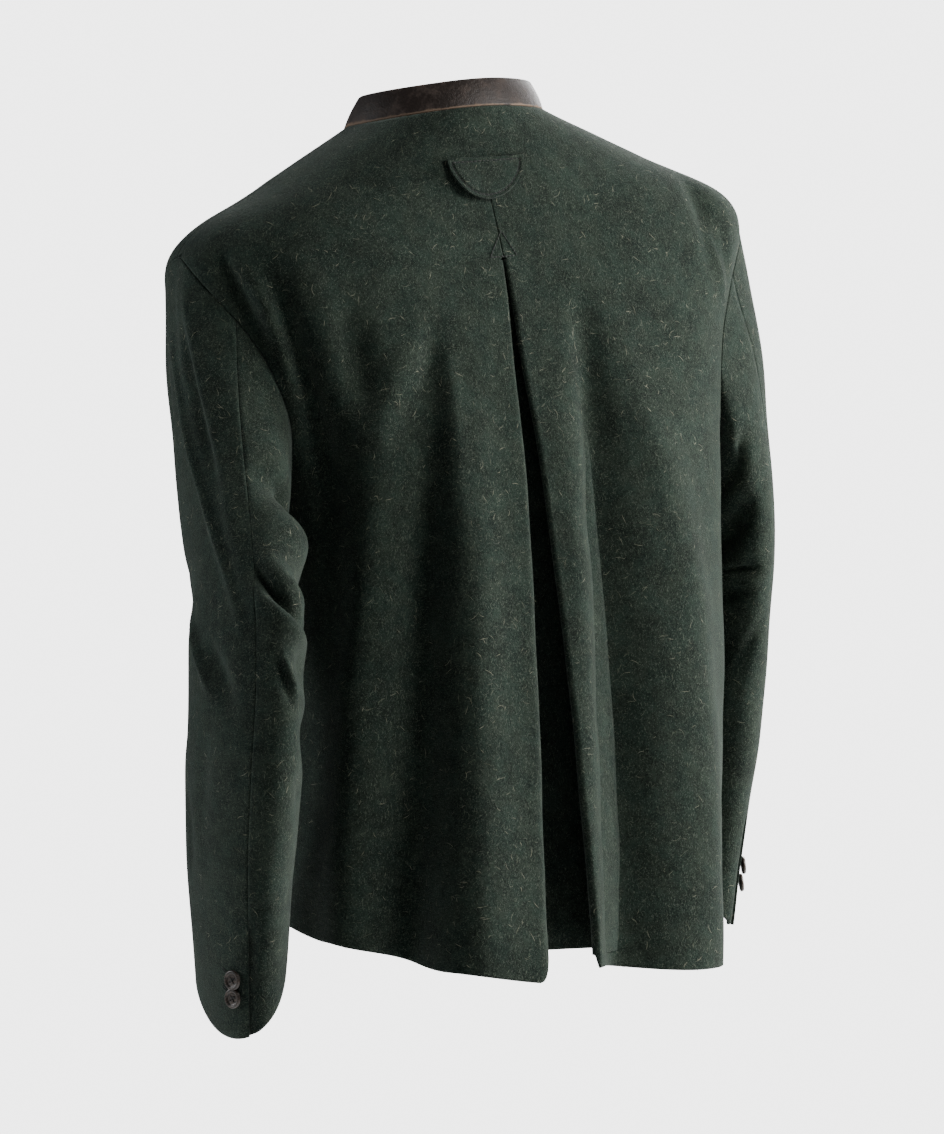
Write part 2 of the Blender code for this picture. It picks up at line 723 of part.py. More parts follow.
def main():
    for old in list(bpy.data.objects):
        bpy.data.objects.remove(old)
    group = collection("jacket")
    build_back(group)
    build_underlay(group)
    build_front("front_left", True, group)
    build_front("front_right", False, group)
    for label, side, rows in (("left", 1, LEFT_SLEEVE), ("right", -1, RIGHT_SLEEVE)):
        build_sleeve(f"{label}_sleeve_top", side, rows, False, group)
        build_sleeve(f"{label}_sleeve_under", side, rows, True, group)
        build_cuff_buttons(label, side, rows, group)
    build_collar(group)
    build_tab(group)
    build_front_buttons(group)


main()
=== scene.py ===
import math

import bpy
import numpy as np
from mathutils import Matrix, Vector


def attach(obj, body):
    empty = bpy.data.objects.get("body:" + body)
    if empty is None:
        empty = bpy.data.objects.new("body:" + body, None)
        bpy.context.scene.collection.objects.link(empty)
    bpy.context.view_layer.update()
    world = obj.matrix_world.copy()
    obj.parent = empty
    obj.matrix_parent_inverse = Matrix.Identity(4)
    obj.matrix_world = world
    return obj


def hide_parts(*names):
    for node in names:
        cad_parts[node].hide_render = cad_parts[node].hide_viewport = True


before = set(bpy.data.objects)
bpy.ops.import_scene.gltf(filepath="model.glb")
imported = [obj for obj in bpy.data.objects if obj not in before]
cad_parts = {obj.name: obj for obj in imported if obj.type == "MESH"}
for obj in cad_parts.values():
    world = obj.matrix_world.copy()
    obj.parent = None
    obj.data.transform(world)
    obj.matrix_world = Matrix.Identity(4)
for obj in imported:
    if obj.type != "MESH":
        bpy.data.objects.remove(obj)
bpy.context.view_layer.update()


# The studio: a pale room with a lamp high at the wearer's right, a strip at each side and a wide one
# in front, and a level camera behind the left shoulder, as far off as a standing photographer. The
# backdrop and the floor glow for the camera only.

CAMERA_TURN = math.radians(28)
CAMERA_REACH = 3.0
CAMERA_HEIGHT = -0.35
PIXELS_A_METRE, PICTURE_HEIGHT = 1280, 1134
CAMERA_ASIDE = 20 / PIXELS_A_METRE
FLOOR_Z, FLOOR_HALF = -1.46, 3
VIEW_SIDE = Vector((-math.cos(CAMERA_TURN), math.sin(CAMERA_TURN), 0))
VIEW_BACK = Vector((math.sin(CAMERA_TURN), math.cos(CAMERA_TURN), 0))
PALE = (0.84, 0.84, 0.84, 1)
BACKDROP_GLOW, ROOM_GLOW = 4.9, 0.13
FLOOR_GLOW = BACKDROP_GLOW * 0.95


def aim(thing, target):
    thing.rotation_euler = (Vector(target) - thing.location).to_track_quat("-Z", "Y").to_euler()


def lamp(name, place, target, size, power, colour):
    light = bpy.data.lights.new(name, "AREA")
    light.shape = "RECTANGLE"
    light.size, light.size_y = size
    light.energy = power
    light.color = colour
    made = bpy.data.objects.new(name, light)
    made.location = place
    aim(made, target)
    bpy.context.scene.collection.objects.link(made)


lens = bpy.data.cameras.new("studio_camera")
lens.sensor_width = 36
lens.lens = lens.sensor_width * PIXELS_A_METRE * CAMERA_REACH / PICTURE_HEIGHT
camera = bpy.data.objects.new("studio_camera", lens)
camera.location = VIEW_SIDE * CAMERA_ASIDE + VIEW_BACK * CAMERA_REACH + Vector((0, 0, CAMERA_HEIGHT))
aim(camera, camera.location - VIEW_BACK)
bpy.context.scene.collection.objects.link(camera)
bpy.context.scene.camera = camera

high = VIEW_SIDE * 1.5 + VIEW_BACK * 0.7 + Vector((0, 0, 0.8))
lamp("high_softbox", high, (0, 0, -0.3), (0.8, 0.8), 34, (1.0, 0.99, 0.96))
right = VIEW_SIDE * 2.4 + VIEW_BACK * -0.25 + Vector((0, 0, -0.05))
lamp("right_strip", right, (0, 0, -0.35), (0.6, 1.2), 95, (1.0, 0.99, 0.97))
left = VIEW_SIDE * -2.2 + VIEW_BACK * 0.1 + Vector((0, 0, 0.2))
lamp("left_strip", left, (0, 0, -0.35), (0.5, 1.6), 28, (0.95, 0.98, 1.0))
front = VIEW_BACK * -2.3 + VIEW_SIDE * 0.9 + Vector((0, 0, 0.9))
lamp("front_fill", front, (0, 0, -0.35), (1.6, 1.6), 85, (1.0, 1.0, 1.0))


def glow_to_camera(tree, kind, strength, shader, end):
    """The camera sees an even pale glow, and every other ray sees the shader."""
    seen = tree.nodes.new("ShaderNodeLightPath")
    glow = tree.nodes.new(kind)
    glow.inputs["Color"].default_value = PALE
    glow.inputs["Strength"].default_value = strength
    either = tree.nodes.new("ShaderNodeMixShader")
    tree.links.new(seen.outputs["Is Camera Ray"], either.inputs["Fac"])
    tree.links.new(shader.outputs[0], either.inputs[1])
    tree.links.new(glow.outputs[0], either.inputs[2])
    tree.links.new(either.outputs["Shader"], tree.nodes[end].inputs["Surface"])


world = bpy.data.worlds.new("pale_room")
bpy.context.scene.world = world
world.use_nodes = True
near = world.node_tree.nodes["Background"]
near.inputs["Color"].default_value = (0.93, 0.97, 1.0, 1)
near.inputs["Strength"].default_value = ROOM_GLOW
glow_to_camera(world.node_tree, "ShaderNodeBackground", BACKDROP_GLOW, near, "World Output")

floor_mesh = bpy.data.meshes.new("floor")
floor_corners = [(x * FLOOR_HALF, y * FLOOR_HALF, FLOOR_Z) for x, y in ((-1, -1), (1, -1), (1, 1), (-1, 1))]
floor_mesh.from_pydata(floor_corners, [], [(0, 1, 2, 3)])
floor = bpy.data.objects.new("floor", floor_mesh)
bpy.context.scene.collection.objects.link(floor)
paper = bpy.data.materials.new("pale_paper")
paper.use_nodes = True
matte = paper.node_tree.nodes["Principled BSDF"]
glow_to_camera(paper.node_tree, "ShaderNodeEmission", FLOOR_GLOW, matte, "Material Output")
floor_mesh.materials.append(paper)


# The back: one piece of felted wool, closed down to a tack between the shoulder blades and folded
# below it into an inverted pleat. It is cut on the same sections as its solid, but its long folds
# are deeper than the solid's. It has small creases too, and rounded edges.

CLOTH = 0.0022
# The gap between pieces, and the finer one along the side, shoulder and long sleeve seams.
SEAM_GAP, SEWN_GAP = 0.0003, 0.00002
SHOULDER_DROP = 0.115
# Sections down the body: heights, half widths and half depths, squareness and shift to the left.
SIDE_Z, BACK_Z, FRONT_Z, LEFT, RIGHT, BACK, FRONT, SQUARE, SHIFT = range(9)
TIP, UNDERARM, WAIST, HEM = 2, 4, 5, 7
BODY = (
    (0.000, 0.004, -0.056, 0.080, 0.083, 0.065, 0.068, 2.00, 0.0090),
    (-0.040, -0.050, -0.105, 0.148, 0.172, 0.077, 0.090, 2.15, 0.0110),
    (-0.090, -0.113, -0.155, 0.232, 0.250, 0.088, 0.104, 2.45, 0.0020),
    (-0.185, -0.205, -0.220, 0.206, 0.226, 0.108, 0.118, 2.90, -0.0030),
    (-0.290, -0.295, -0.295, 0.170, 0.208, 0.128, 0.124, 3.00, -0.0060),
    (-0.430, -0.430, -0.430, 0.167, 0.203, 0.150, 0.126, 2.90, -0.0080),
    (-0.555, -0.555, -0.555, 0.167, 0.195, 0.170, 0.128, 2.70, -0.0070),
    (-0.660, -0.660, -0.660, 0.168, 0.187, 0.188, 0.132, 2.50, -0.0060),
)
# Angle round the body from the left side by way of the back, and the height of the hem there.
HEM_LINE = (
    (0, -0.614),
    (30, -0.628),
    (60, -0.647),
    (86, -0.657),
    (98, -0.648),
    (125, -0.655),
    (150, -0.654),
    (178, -0.640),
    (270, -0.640),
    (330, -0.622),
)
# Long folds: top and low height, top and low angle, width in degrees, depth.
BODY_FOLDS = (
    (-0.15, -1.05, 51.0, 47.0, 7.5, -0.027),
    (-0.20, -1.10, 38.0, 35.0, 7.0, 0.014),
    (-0.14, -1.20, 68.0, 64.0, 8.0, 0.011),
    (-0.06, -0.34, 15.0, 36.0, 7.0, -0.005),
    (-0.12, -0.45, 27.0, 33.0, 7.0, -0.006),
    (-0.14, -1.00, 120.0, 99.0, 7.5, -0.025),
    (-0.16, -1.10, 136.0, 126.0, 8.0, 0.013),
    (-0.16, -1.10, 104.0, 88.0, 6.0, 0.004),
    (-0.25, -1.10, 196.0, 190.0, 12.0, -0.007),
    (-0.20, -1.05, 232.0, 236.0, 11.0, -0.008),
    (-0.22, -1.05, 306.0, 302.0, 11.0, -0.008),
    (-0.28, -1.10, 342.0, 345.0, 10.0, -0.005),
)
# Creases: level and angle of the start, middle and end, then width and depth in metres. A depth
# over zero is a ridge. The first rows are those of the photo, and the front has similar ones.
BODY_CREASES = (
    (1.80, 9.0, 2.35, 14.0, 2.95, 18.5, 0.0080, -0.0070),
    (2.10, 14.0, 2.65, 20.0, 3.40, 23.5, 0.0065, 0.0050),
    (2.25, 18.5, 3.00, 24.0, 4.30, 27.5, 0.0090, -0.0100),
    (2.50, 33.0, 2.95, 36.0, 3.35, 36.5, 0.0120, -0.0075),
    (2.10, 23.0, 2.85, 29.5, 3.90, 36.0, 0.0130, 0.0034),
    (2.50, 53.0, 2.95, 46.0, 3.70, 37.5, 0.0130, 0.0026),
    (2.60, 54.0, 3.20, 55.0, 4.10, 53.0, 0.0100, -0.0045),
    (2.75, 58.5, 3.50, 61.5, 4.60, 62.5, 0.0080, 0.0026),
    (1.55, 165.0, 1.95, 162.5, 2.45, 160.0, 0.0120, -0.0080),
    (2.00, 163.5, 2.35, 160.5, 2.75, 162.0, 0.0045, 0.0038),
    (2.05, 165.5, 2.35, 163.5, 2.65, 164.5, 0.0035, -0.0024),
    (2.50, 122.0, 3.10, 120.0, 3.90, 119.5, 0.0120, -0.0045),
    (2.70, 132.0, 3.60, 131.0, 4.60, 133.0, 0.0140, 0.0024),
    (4.80, 60.0, 5.50, 57.0, 6.30, 58.0, 0.0160, -0.0024),
    (5.00, 112.0, 5.70, 114.0, 6.40, 113.0, 0.0140, -0.0024),
    (1.90, 347.0, 2.50, 341.0, 3.20, 335.0, 0.0080, -0.0042),
    (2.40, 338.0, 3.10, 333.0, 4.00, 331.0, 0.0085, -0.0052),
    (2.15, 343.0, 2.80, 337.0, 3.50, 334.0, 0.0060, 0.0028),
    (1.90, 193.0, 2.50, 199.0, 3.10, 205.0, 0.0080, -0.0042),
    (2.50, 202.0, 3.20, 208.0, 4.10, 209.0, 0.0085, -0.0052),
    (4.20, 300.0, 5.00, 296.0, 6.00, 297.0, 0.0160, -0.0036),
    (4.30, 240.0, 5.10, 245.0, 5.90, 243.0, 0.0160, -0.0036),
    (3.20, 288.0, 3.80, 286.0, 4.50, 289.0, 0.0140, -0.0026),
    (3.00, 252.0, 3.70, 256.0, 4.40, 254.0, 0.0140, 0.0026),
    (4.90, 352.0, 5.50, 361.0, 6.20, 366.0, 0.0120, -0.0032),
    (4.90, 176.0, 5.50, 184.0, 6.10, 190.0, 0.0120, -0.0032),
    (0.50, 320.0, 0.90, 318.0, 1.50, 325.0, 0.0100, -0.0028),
    (0.50, 222.0, 0.90, 224.0, 1.50, 216.0, 0.0100, -0.0028),
)


def read(rows, column, where):
    """A table's column at row numbers that may lie between rows, on a smooth curve."""
    value = np.array([row[column] for row in rows], float)
    value = np.concatenate(([2 * value[0] - value[1]], value, [2 * value[-1] - value[-2]]))
    low = np.clip(np.floor(where).astype(int), 0, len(rows) - 2)
    share = where - low
    a, b, c, d = (value[low + k] for k in range(4))
    return b + share / 2 * (c - a + share * (2 * a - 5 * b + 4 * c - d + share * (3 * (b - c) + d - a)))


def soft_step(low, high, value):
    share = np.clip((value - low) / (high - low), 0, 1)
    return share * share * (3 - 2 * share)


def posed(points, sleeve=False):
    """The stance: the left shoulder and sleeve hang lower than the right, and the hem stays level."""
    points = np.array(points, float)
    z = points[..., 2]
    drop = 1.0 if sleeve else soft_step(-0.64, -0.32, z)
    points[..., 2] = z - SHOULDER_DROP * drop * points[..., 0]
    return points


def hem_height(angle):
    line = HEM_LINE + ((360, HEM_LINE[0][1]),)
    turns, heights = (np.array(side, float) for side in zip(*line))
    angle = angle % 360
    low = np.clip(np.searchsorted(turns, angle, side="right") - 1, 0, len(turns) - 2)
    return heights[low] + (heights[low + 1] - heights[low]) * soft_step(turns[low], turns[low + 1], angle)


def crease_lines(surface, table):
    """Each crease as a curve in space through its three places, with its width and depth."""
    share = np.linspace(0, 1, 13)
    start, middle, end = (1 - share) * (1 - 2 * share), 4 * share * (1 - share), share * (2 * share - 1)
    lines = []
    for *places, width, deep in table:
        first, second = (places[k] * start + places[k + 2] * middle + places[k + 4] * end for k in (0, 1))
        lines.append((surface(first, second), width, deep))
    return lines


def creased(points, lines):
    """How far the creases move each point out. Each is a bell across and fades towards its ends."""
    moved = np.zeros(points.shape[:-1])
    for line, width, deep in lines:
        inside = (points > line.min(0) - 3 * width) & (points < line.max(0) + 3 * width)
        inside = inside.all(-1)
        if not inside.any():
            continue
        here = points[inside]
        best, where = np.full(len(here), 9.0), np.zeros(len(here))
        for k, (start, end) in enumerate(zip(line, line[1:])):
            along = end - start
            share = np.clip((here - start) @ along / (along @ along), 0, 1)
            away = np.linalg.norm(here - start - share[:, None] * along, axis=1)
            where = np.where(away < best, (k + share) / (len(line) - 1), where)
            best = np.minimum(best, away)
        moved[inside] += deep * np.exp(-((best / width) ** 2)) * np.sin(np.pi * (0.05 + 0.9 * where))
    return moved


def facing(surface, first, second, steps, limits, sign=1):
    """Outward directions of a surface given by two numbers, the first of them kept in its limits."""
    low, high = np.maximum(first - steps[0], limits[0]), np.minimum(first + steps[0], limits[1])
    down = surface(high, second) - surface(low, second)
    round_it = surface(first, second + steps[1]) - surface(first, second - steps[1])
    out = np.cross(round_it, -down) * sign
    return out / np.linalg.norm(out, axis=-1, keepdims=True)


def unevenness(points):
    """The slight waviness of thick felted cloth, under a millimetre."""
    x, y, z = np.moveaxis(points, -1, 0)
    waves = np.sin(61 * x + 37 * z) + np.sin(47 * z - 53 * y + 1.3) + 0.6 * np.sin(95 * x - 83 * z + 2.1)
    return 0.00035 * waves


def plain_body(w, angle):
    """Points of the body's outer face before the stance, at levels and angles, without creases."""
    w, angle = np.broadcast_arrays(np.asarray(w, float), np.asarray(angle, float))
    turn = np.radians(angle)
    along, across = np.cos(turn), np.sin(turn)
    half = np.where(along >= 0, read(BODY, LEFT, w), read(BODY, RIGHT, w))
    deep = np.where(across >= 0, read(BODY, BACK, w), read(BODY, FRONT, w))
    square = read(BODY, SQUARE, w)
    reach = (np.abs(along / half) ** square + np.abs(across / deep) ** square) ** (-1 / square)
    side_z = read(BODY, SIDE_Z, w)
    end_z = np.where(across >= 0, read(BODY, BACK_Z, w), read(BODY, FRONT_Z, w))
    z = side_z + (end_z - side_z) * across * across
    waist_z, level_hem = BODY[WAIST][0], BODY[HEM][0]
    low = waist_z + (z - waist_z) * (hem_height(angle) - waist_z) / (level_hem - waist_z)
    z = np.where(z < waist_z, low, z)
    for top_z, low_z, top_angle, low_angle, width, depth in BODY_FOLDS:
        share = np.clip((top_z - z) / (top_z - low_z), 0, 1)
        away = (angle - top_angle - (low_angle - top_angle) * share + 180) % 360 - 180
        fade = np.minimum(soft_step(0, 0.22, share), soft_step(0, 0.3, 1 - share))
        across_it = np.exp(-((away / (width * (0.75 + 0.9 * share))) ** 2))
        reach = reach + depth * fade * (0.55 + share) * across_it
    return np.stack((read(BODY, SHIFT, w) + reach * along, reach * across, z), -1)


BODY_LINES = crease_lines(plain_body, BODY_CREASES)


def body(w, angle):
    """Points of the body's outer face before the stance, with its creases."""
    w, angle = np.broadcast_arrays(np.asarray(w, float), np.asarray(angle, float))
    plain = plain_body(w, angle)
    moved = creased(plain, BODY_LINES) + unevenness(plain) * soft_step(0.3, 1.2, w)
    return plain + facing(plain_body, w, angle, (0.02, 0.5), (0, HEM)) * moved[..., None]


def normals(w, angle):
    """The body's outward directions."""
    return facing(body, w, angle, (0.02, 0.5), (0, HEM))


# Degrees that the armhole takes from the back and the front, and the extra share low down.
BACK_SCYE, FRONT_SCYE, SCYE_LOW = 18.5, 21.5, 0.5
MID_W, HALF_W = (TIP + UNDERARM) / 2, (UNDERARM - TIP) / 2


def armhole(turn):
    """Level and angle on the body: 0 degrees is the shoulder tip, 90 the back, 180 the underarm."""
    low, side = -np.cos(np.radians(turn)), np.sin(np.radians(turn))
    return MID_W + HALF_W * low, np.where(side >= 0, BACK_SCYE, FRONT_SCYE) * side * (1 + SCYE_LOW * low)


ARMHOLE_STEPS = 54
edge_levels = armhole(np.linspace(0, 180, ARMHOLE_STEPS + 1))[0]
even_levels = np.linspace(TIP, UNDERARM, ARMHOLE_STEPS + 1)
above, below = np.linspace(0, TIP, 37)[:-1], np.linspace(UNDERARM, HEM, 94)[1:]
EDGE_W = np.concatenate((above, edge_levels, below))
EVEN_W = np.concatenate((above, even_levels, below))
TACK_ROW = len(above)


def taken(reach):
    """How many degrees the armhole, or half the seam's gap, takes from a panel at each row."""
    low = (EDGE_W - MID_W) / HALF_W
    hole = reach * np.sqrt(np.clip(1 - low * low, 0, 1)) * (1 + SCYE_LOW * low)
    return hole + np.degrees(SEWN_GAP / 2 / read(BODY, LEFT, EDGE_W))


def panel_levels(share):
    return EDGE_W[:, None] + (EVEN_W - EDGE_W)[:, None] * soft_step(0, 0.4, share)


def angle_at_x(w, x, guess):
    """The angle near the centre back or front at which each level has this x."""
    angle = np.broadcast_to(guess, np.shape(w)).astype(float)
    for _ in range(8):
        slope = body(w, angle + 0.5)[..., 0] - body(w, angle - 0.5)[..., 0]
        angle = angle - (body(w, angle)[..., 0] - x) / slope
    return angle


PLEAT_DEPTH, PLEAT_TOP_Z, PLEAT_FALL = 0.048, -0.12, 0.53
ROLL_STEPS, RETURN_STEPS = 10, 8
# Radius of the fold's roll at its top and low end, and how far its low corner lifts, by side.
ROLL_TOP = 0.0025
ROLL_LOW = {1: 0.011, -1: 0.0045}
CORNER_LIFT = {1: 0.016, -1: 0.010}


def pleat(w, side):
    """The angle of a panel's edge at each level, and the roll of its fold and the return behind it."""
    middle = body(w, np.full(np.shape(w), 90.0))
    z = middle[:, 2]
    fall = np.clip((PLEAT_TOP_Z - z) / PLEAT_FALL, 0, 1)
    radius = ROLL_TOP + (ROLL_LOW[side] - ROLL_TOP) * fall
    gap = 0.0004 + 0.0355 * np.maximum(-0.116 - z, 0)
    sink = 0.0066 + 0.034 * fall
    edge_angle = angle_at_x(w, middle[:, 0] + side * (gap + radius), 90)
    centre = body(w, edge_angle)
    centre[:, 1] -= radius
    inward = np.arctan2(sink - 2 * radius, PLEAT_DEPTH)
    lift = CORNER_LIFT[side] * soft_step(-0.60, -0.665, z)
    path = []
    for k in range(1, ROLL_STEPS + 1):
        turn = (np.pi - inward) * k / ROLL_STEPS
        rise = lift * np.minimum(turn / 1.1, 1) ** 2
        out = np.stack((-side * np.sin(turn), np.cos(turn), 0 * turn), -1)
        path.append(centre + out * radius[:, None] + rise[:, None] * np.array((0, 0, 1)))
    for k in range(1, RETURN_STEPS + 1):
        way = np.stack((side * np.cos(inward), -np.sin(inward), 0 * inward), -1)
        path.append(path[ROLL_STEPS - 1] + way * PLEAT_DEPTH * k / RETURN_STEPS)
    return edge_angle, np.stack(path, 1)


def grid(rows, columns, start=0):
    """Corner numbers of the squares of a grid of points."""
    number = start + np.arange(rows * columns).reshape(rows, columns)
    return np.stack((number[:-1, :-1], number[:-1, 1:], number[1:, 1:], number[1:, :-1]), -1).reshape(-1, 4)


def outward(points, squares):
    corner = points[squares]
    face = np.cross(corner[:, 2] - corner[:, 0], corner[:, 3] - corner[:, 1])
    total = np.zeros_like(points)
    for k in range(4):
        np.add.at(total, squares[:, k], face)
    return total / np.maximum(np.linalg.norm(total, axis=1, keepdims=True), 1e-12)


def new_piece(name, points, faces, smooth=True):
    """An object of a new mesh, linked into the scene."""
    mesh = bpy.data.meshes.new(name)
    mesh.from_pydata(points.tolist(), [], faces)
    if smooth:
        mesh.shade_smooth()
    made = bpy.data.objects.new(name, mesh)
    bpy.context.scene.collection.objects.link(made)
    return made


def wall(name, points, squares, thick=CLOTH, round_edge=0.0007, marks=None):
    """A closed wall with rounded edges under a surface of points. marks are values kept at its points."""
    points, squares = np.asarray(points, float), np.asarray(squares)
    count = len(points)
    normal = outward(points, squares)
    edges = np.concatenate([squares[:, [k, (k + 1) % 4]] for k in range(4)])
    edges = edges[edges[:, 0] != edges[:, 1]]
    lone = ~np.isin(edges[:, 0] * count + edges[:, 1], edges[:, 1] * count + edges[:, 0])
    rim = edges[lone]
    side = np.cross(points[rim[:, 1]] - points[rim[:, 0]], normal[rim[:, 0]])
    side /= np.maximum(np.linalg.norm(side, axis=1, keepdims=True), 1e-12)
    out = np.zeros_like(points)
    np.add.at(out, rim[:, 0], side)
    np.add.at(out, rim[:, 1], side)
    on_rim = np.unique(rim)
    out[on_rim] /= np.maximum(np.linalg.norm(out[on_rim], axis=1, keepdims=True), 1e-9)
    top = points.copy()
    top[on_rim] -= round_edge * out[on_rim]
    rings = [top, top - thick * normal]
    place = np.full(count, -1)
    place[on_rim] = np.arange(len(on_rim))
    numbers = [np.arange(count)]
    for k, turn in enumerate(np.radians((45, 90, 135))):
        ring = top[on_rim] - thick / 2 * (1 - np.cos(turn)) * normal[on_rim]
        rings.append(ring + round_edge * np.sin(turn) * out[on_rim])
        numbers.append(2 * count + k * len(on_rim) + place)
    numbers.append(count + np.arange(count))
    faces = [tuple(dict.fromkeys(f)) for f in squares.tolist()]
    faces += [tuple(count + v for v in reversed(f)) for f in faces]
    for near, far in zip(numbers, numbers[1:]):
        strip = np.stack((near[rim[:, 1]], near[rim[:, 0]], far[rim[:, 0]], far[rim[:, 1]]), 1)
        faces += strip.tolist()
    made = new_piece(name, np.concatenate(rings), faces)
    if marks is not None:
        marks = np.asarray(marks, float)
        kept = np.concatenate([marks, marks] + [marks[on_rim]] * 3)
        made.data.attributes.new("mark", "FLOAT", "POINT").data.foreach_set("value", kept)
    return made


def join(*parts):
    """Several grids of points and squares as one, with the points that coincide made one."""
    points = np.concatenate([p for p, _ in parts])
    starts = np.cumsum([0] + [len(p) for p, _ in parts])
    squares = np.concatenate([s + start for (_, s), start in zip(parts, starts)])
    _, first, back = np.unique(np.round(points, 7), axis=0, return_index=True, return_inverse=True)
    return points[first], back.reshape(-1)[squares]


class Value:
    """A number that a material works out at each point, added and multiplied with the usual signs."""

    def __init__(self, finish, socket):
        self.finish, self.socket = finish, socket

    def _math(self, operation, first, second):
        return self.finish.node("Math", {"operation": operation}, {0: first, 1: second})

    def __add__(self, other):
        return self._math("ADD", self, other)

    def __sub__(self, other):
        return self._math("SUBTRACT", self, other)

    def __rsub__(self, other):
        return self._math("SUBTRACT", other, self)

    def __mul__(self, other):
        return self._math("MULTIPLY", self, other)

    __radd__, __rmul__ = __add__, __mul__


class Finish:
    """A material: constant numbers go on its shader, and what varies comes from nodes."""

    def __init__(self, name, constants):
        self.made = bpy.data.materials.new(name)
        self.made.use_nodes = True
        self.tree = self.made.node_tree
        self.shader = self.tree.nodes["Principled BSDF"]
        for socket, value in constants.items():
            self.shader.inputs[socket].default_value = value

    def node(self, kind, settings=None, links=None, out=0):
        made = self.tree.nodes.new("ShaderNode" + kind)
        for setting, value in (settings or {}).items():
            setattr(made, setting, value)
        for socket, value in (links or {}).items():
            if isinstance(value, Value):
                self.tree.links.new(value.socket, made.inputs[socket])
            else:
                made.inputs[socket].default_value = value
        return Value(self, made.outputs[out])

    def feed(self, socket, value):
        self.tree.links.new(value.socket, self.shader.inputs[socket])

    def place(self):
        return self.node("TexCoord", out="Object")

    def noise(self, where, scale, detail=2.0, rough=0.5):
        links = {"Vector": where, "Scale": scale, "Detail": detail, "Roughness": rough}
        return self.node("TexNoise", {}, links)

    def stretched(self, where, turn, size):
        """Coordinates that are long one way, for hairs and streaks."""
        links = {"Vector": where, "Rotation": turn, "Scale": size}
        return self.node("Mapping", {"vector_type": "TEXTURE"}, links)

    def window(self, value, low, high):
        """0 below low and 1 above high."""
        links = {"Value": value, "From Min": low, "From Max": high}
        return self.node("MapRange", {"interpolation_type": "SMOOTHSTEP"}, links)

    def blend(self, amount, first, second):
        return self.node("Mix", {"data_type": "RGBA"}, {0: amount, 6: first, 7: second}, out=2)

    def bump(self, height, distance, strength=1.0):
        links = {"Height": height, "Distance": distance, "Strength": strength}
        self.feed("Normal", self.node("Bump", {}, links))


# The direction and length of each lot of fine hairs in the wool's colour.
HAIR_LOTS = (
    ((0.2, 0.9, 0.4), 0.0042),
    ((0.7, -0.5, 1.3), 0.0036),
    ((-0.4, 1.7, 0.2), 0.0046),
    ((1.1, 0.3, -0.9), 0.0040),
)


def wool_finish(name, deep, middle, light):
    """Dark green loden: blotchy melange of dyed fibres, felted, with short pale hairs in it."""
    wool = Finish(name, {
        "Sheen Weight": 0.16,
        "Sheen Roughness": 0.45,
        "Sheen Tint": (0.80, 0.90, 0.84, 1),
        "Specular IOR Level": 0.15,
    })
    where = wool.place()
    grain = wool.noise(where, 620, 3, 0.65)
    cloud = wool.noise(where, 95, 3, 0.6)
    drift = wool.noise(where, 22, 2, 0.5)
    tone = wool.window(grain * 0.55 + cloud * 0.3 + drift * 0.15, 0.36, 0.66)
    colour = wool.blend(tone, deep, middle)
    hue = wool.window(wool.noise(where, 60, 2, 0.55), 0.42, 0.62)
    cool = wool.blend(tone, (0.005, 0.014, 0.011, 1), (0.018, 0.040, 0.031, 1))
    colour = wool.blend(hue * 0.35, colour, cool)
    hairs = None
    for turn, size in HAIR_LOTS:
        streak = wool.noise(wool.stretched(where, turn, (size, 0.0006, 0.0006)), 1.0, 1, 0.5)
        mask = wool.window(streak, 0.66, 0.76)
        hairs = mask if hairs is None else hairs + mask
    hairs = wool.window(hairs, 0.0, 1.0)
    colour = wool.blend(hairs * 0.55, colour, light)
    wool.feed("Base Color", colour)
    wool.feed("Roughness", 0.98 - 0.1 * hairs)
    fuzz = wool.noise(where, 1500, 2, 0.6)
    wool.bump(grain * 0.7 + fuzz * 0.4 + hairs * 0.5 + cloud * 0.5, 0.0011, 0.8)
    return wool.made


cloths = {}
wool = wool_finish("loden_wool", (0.0040, 0.0080, 0.0058, 1), (0.030, 0.044, 0.032, 1), (0.15, 0.18, 0.13, 1))

HALF_STEPS = 92
share = np.linspace(0, 1, HALF_STEPS + 1)
rows = len(EDGE_W)
open_rows = np.arange(rows) > TACK_ROW
SEAM_TOP_LEVEL = 1.2
closed = np.degrees(SEAM_GAP / 2 / BODY[TIP][BACK])
halves, edges_at = [], {}
for side in (1, -1):
    end = np.where(EDGE_W > SEAM_TOP_LEVEL, 90.0 - closed, 90.0)
    found, path = pleat(EVEN_W[open_rows], side)
    end[open_rows] = found if side > 0 else 180 - found
    angles = end[:, None] * share + taken(BACK_SCYE)[:, None] * (1 - share) ** 3
    angles = angles if side > 0 else 180 - angles
    flat = body(panel_levels(share), angles)
    flip = slice(None, None, -1) if side > 0 else slice(None)
    squares = grid(rows, HALF_STEPS + 1)
    fold = np.concatenate((flat[open_rows][:, -1:], path), 1)
    fold_squares = grid(fold.shape[0], fold.shape[1])
    halves.append((posed(flat).reshape(-1, 3), squares[:, flip]))
    halves.append((posed(fold).reshape(-1, 3), fold_squares[:, flip]))
    edges_at[side] = path
cloths["back_cloth"] = join(*halves)
back = wall("back_cloth", *cloths["back_cloth"], round_edge=0.0004)
back.data.materials.append(wool)


def place_cloth(piece, node):
    """A cloth piece rides on the jacket and stands for its solid, which it hides."""
    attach(piece, "root")
    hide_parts(node)


place_cloth(back, "back")


# The pleat's strip: a straight length of the same wool behind the two folds, seen as the dark
# bottom of the open pleat.

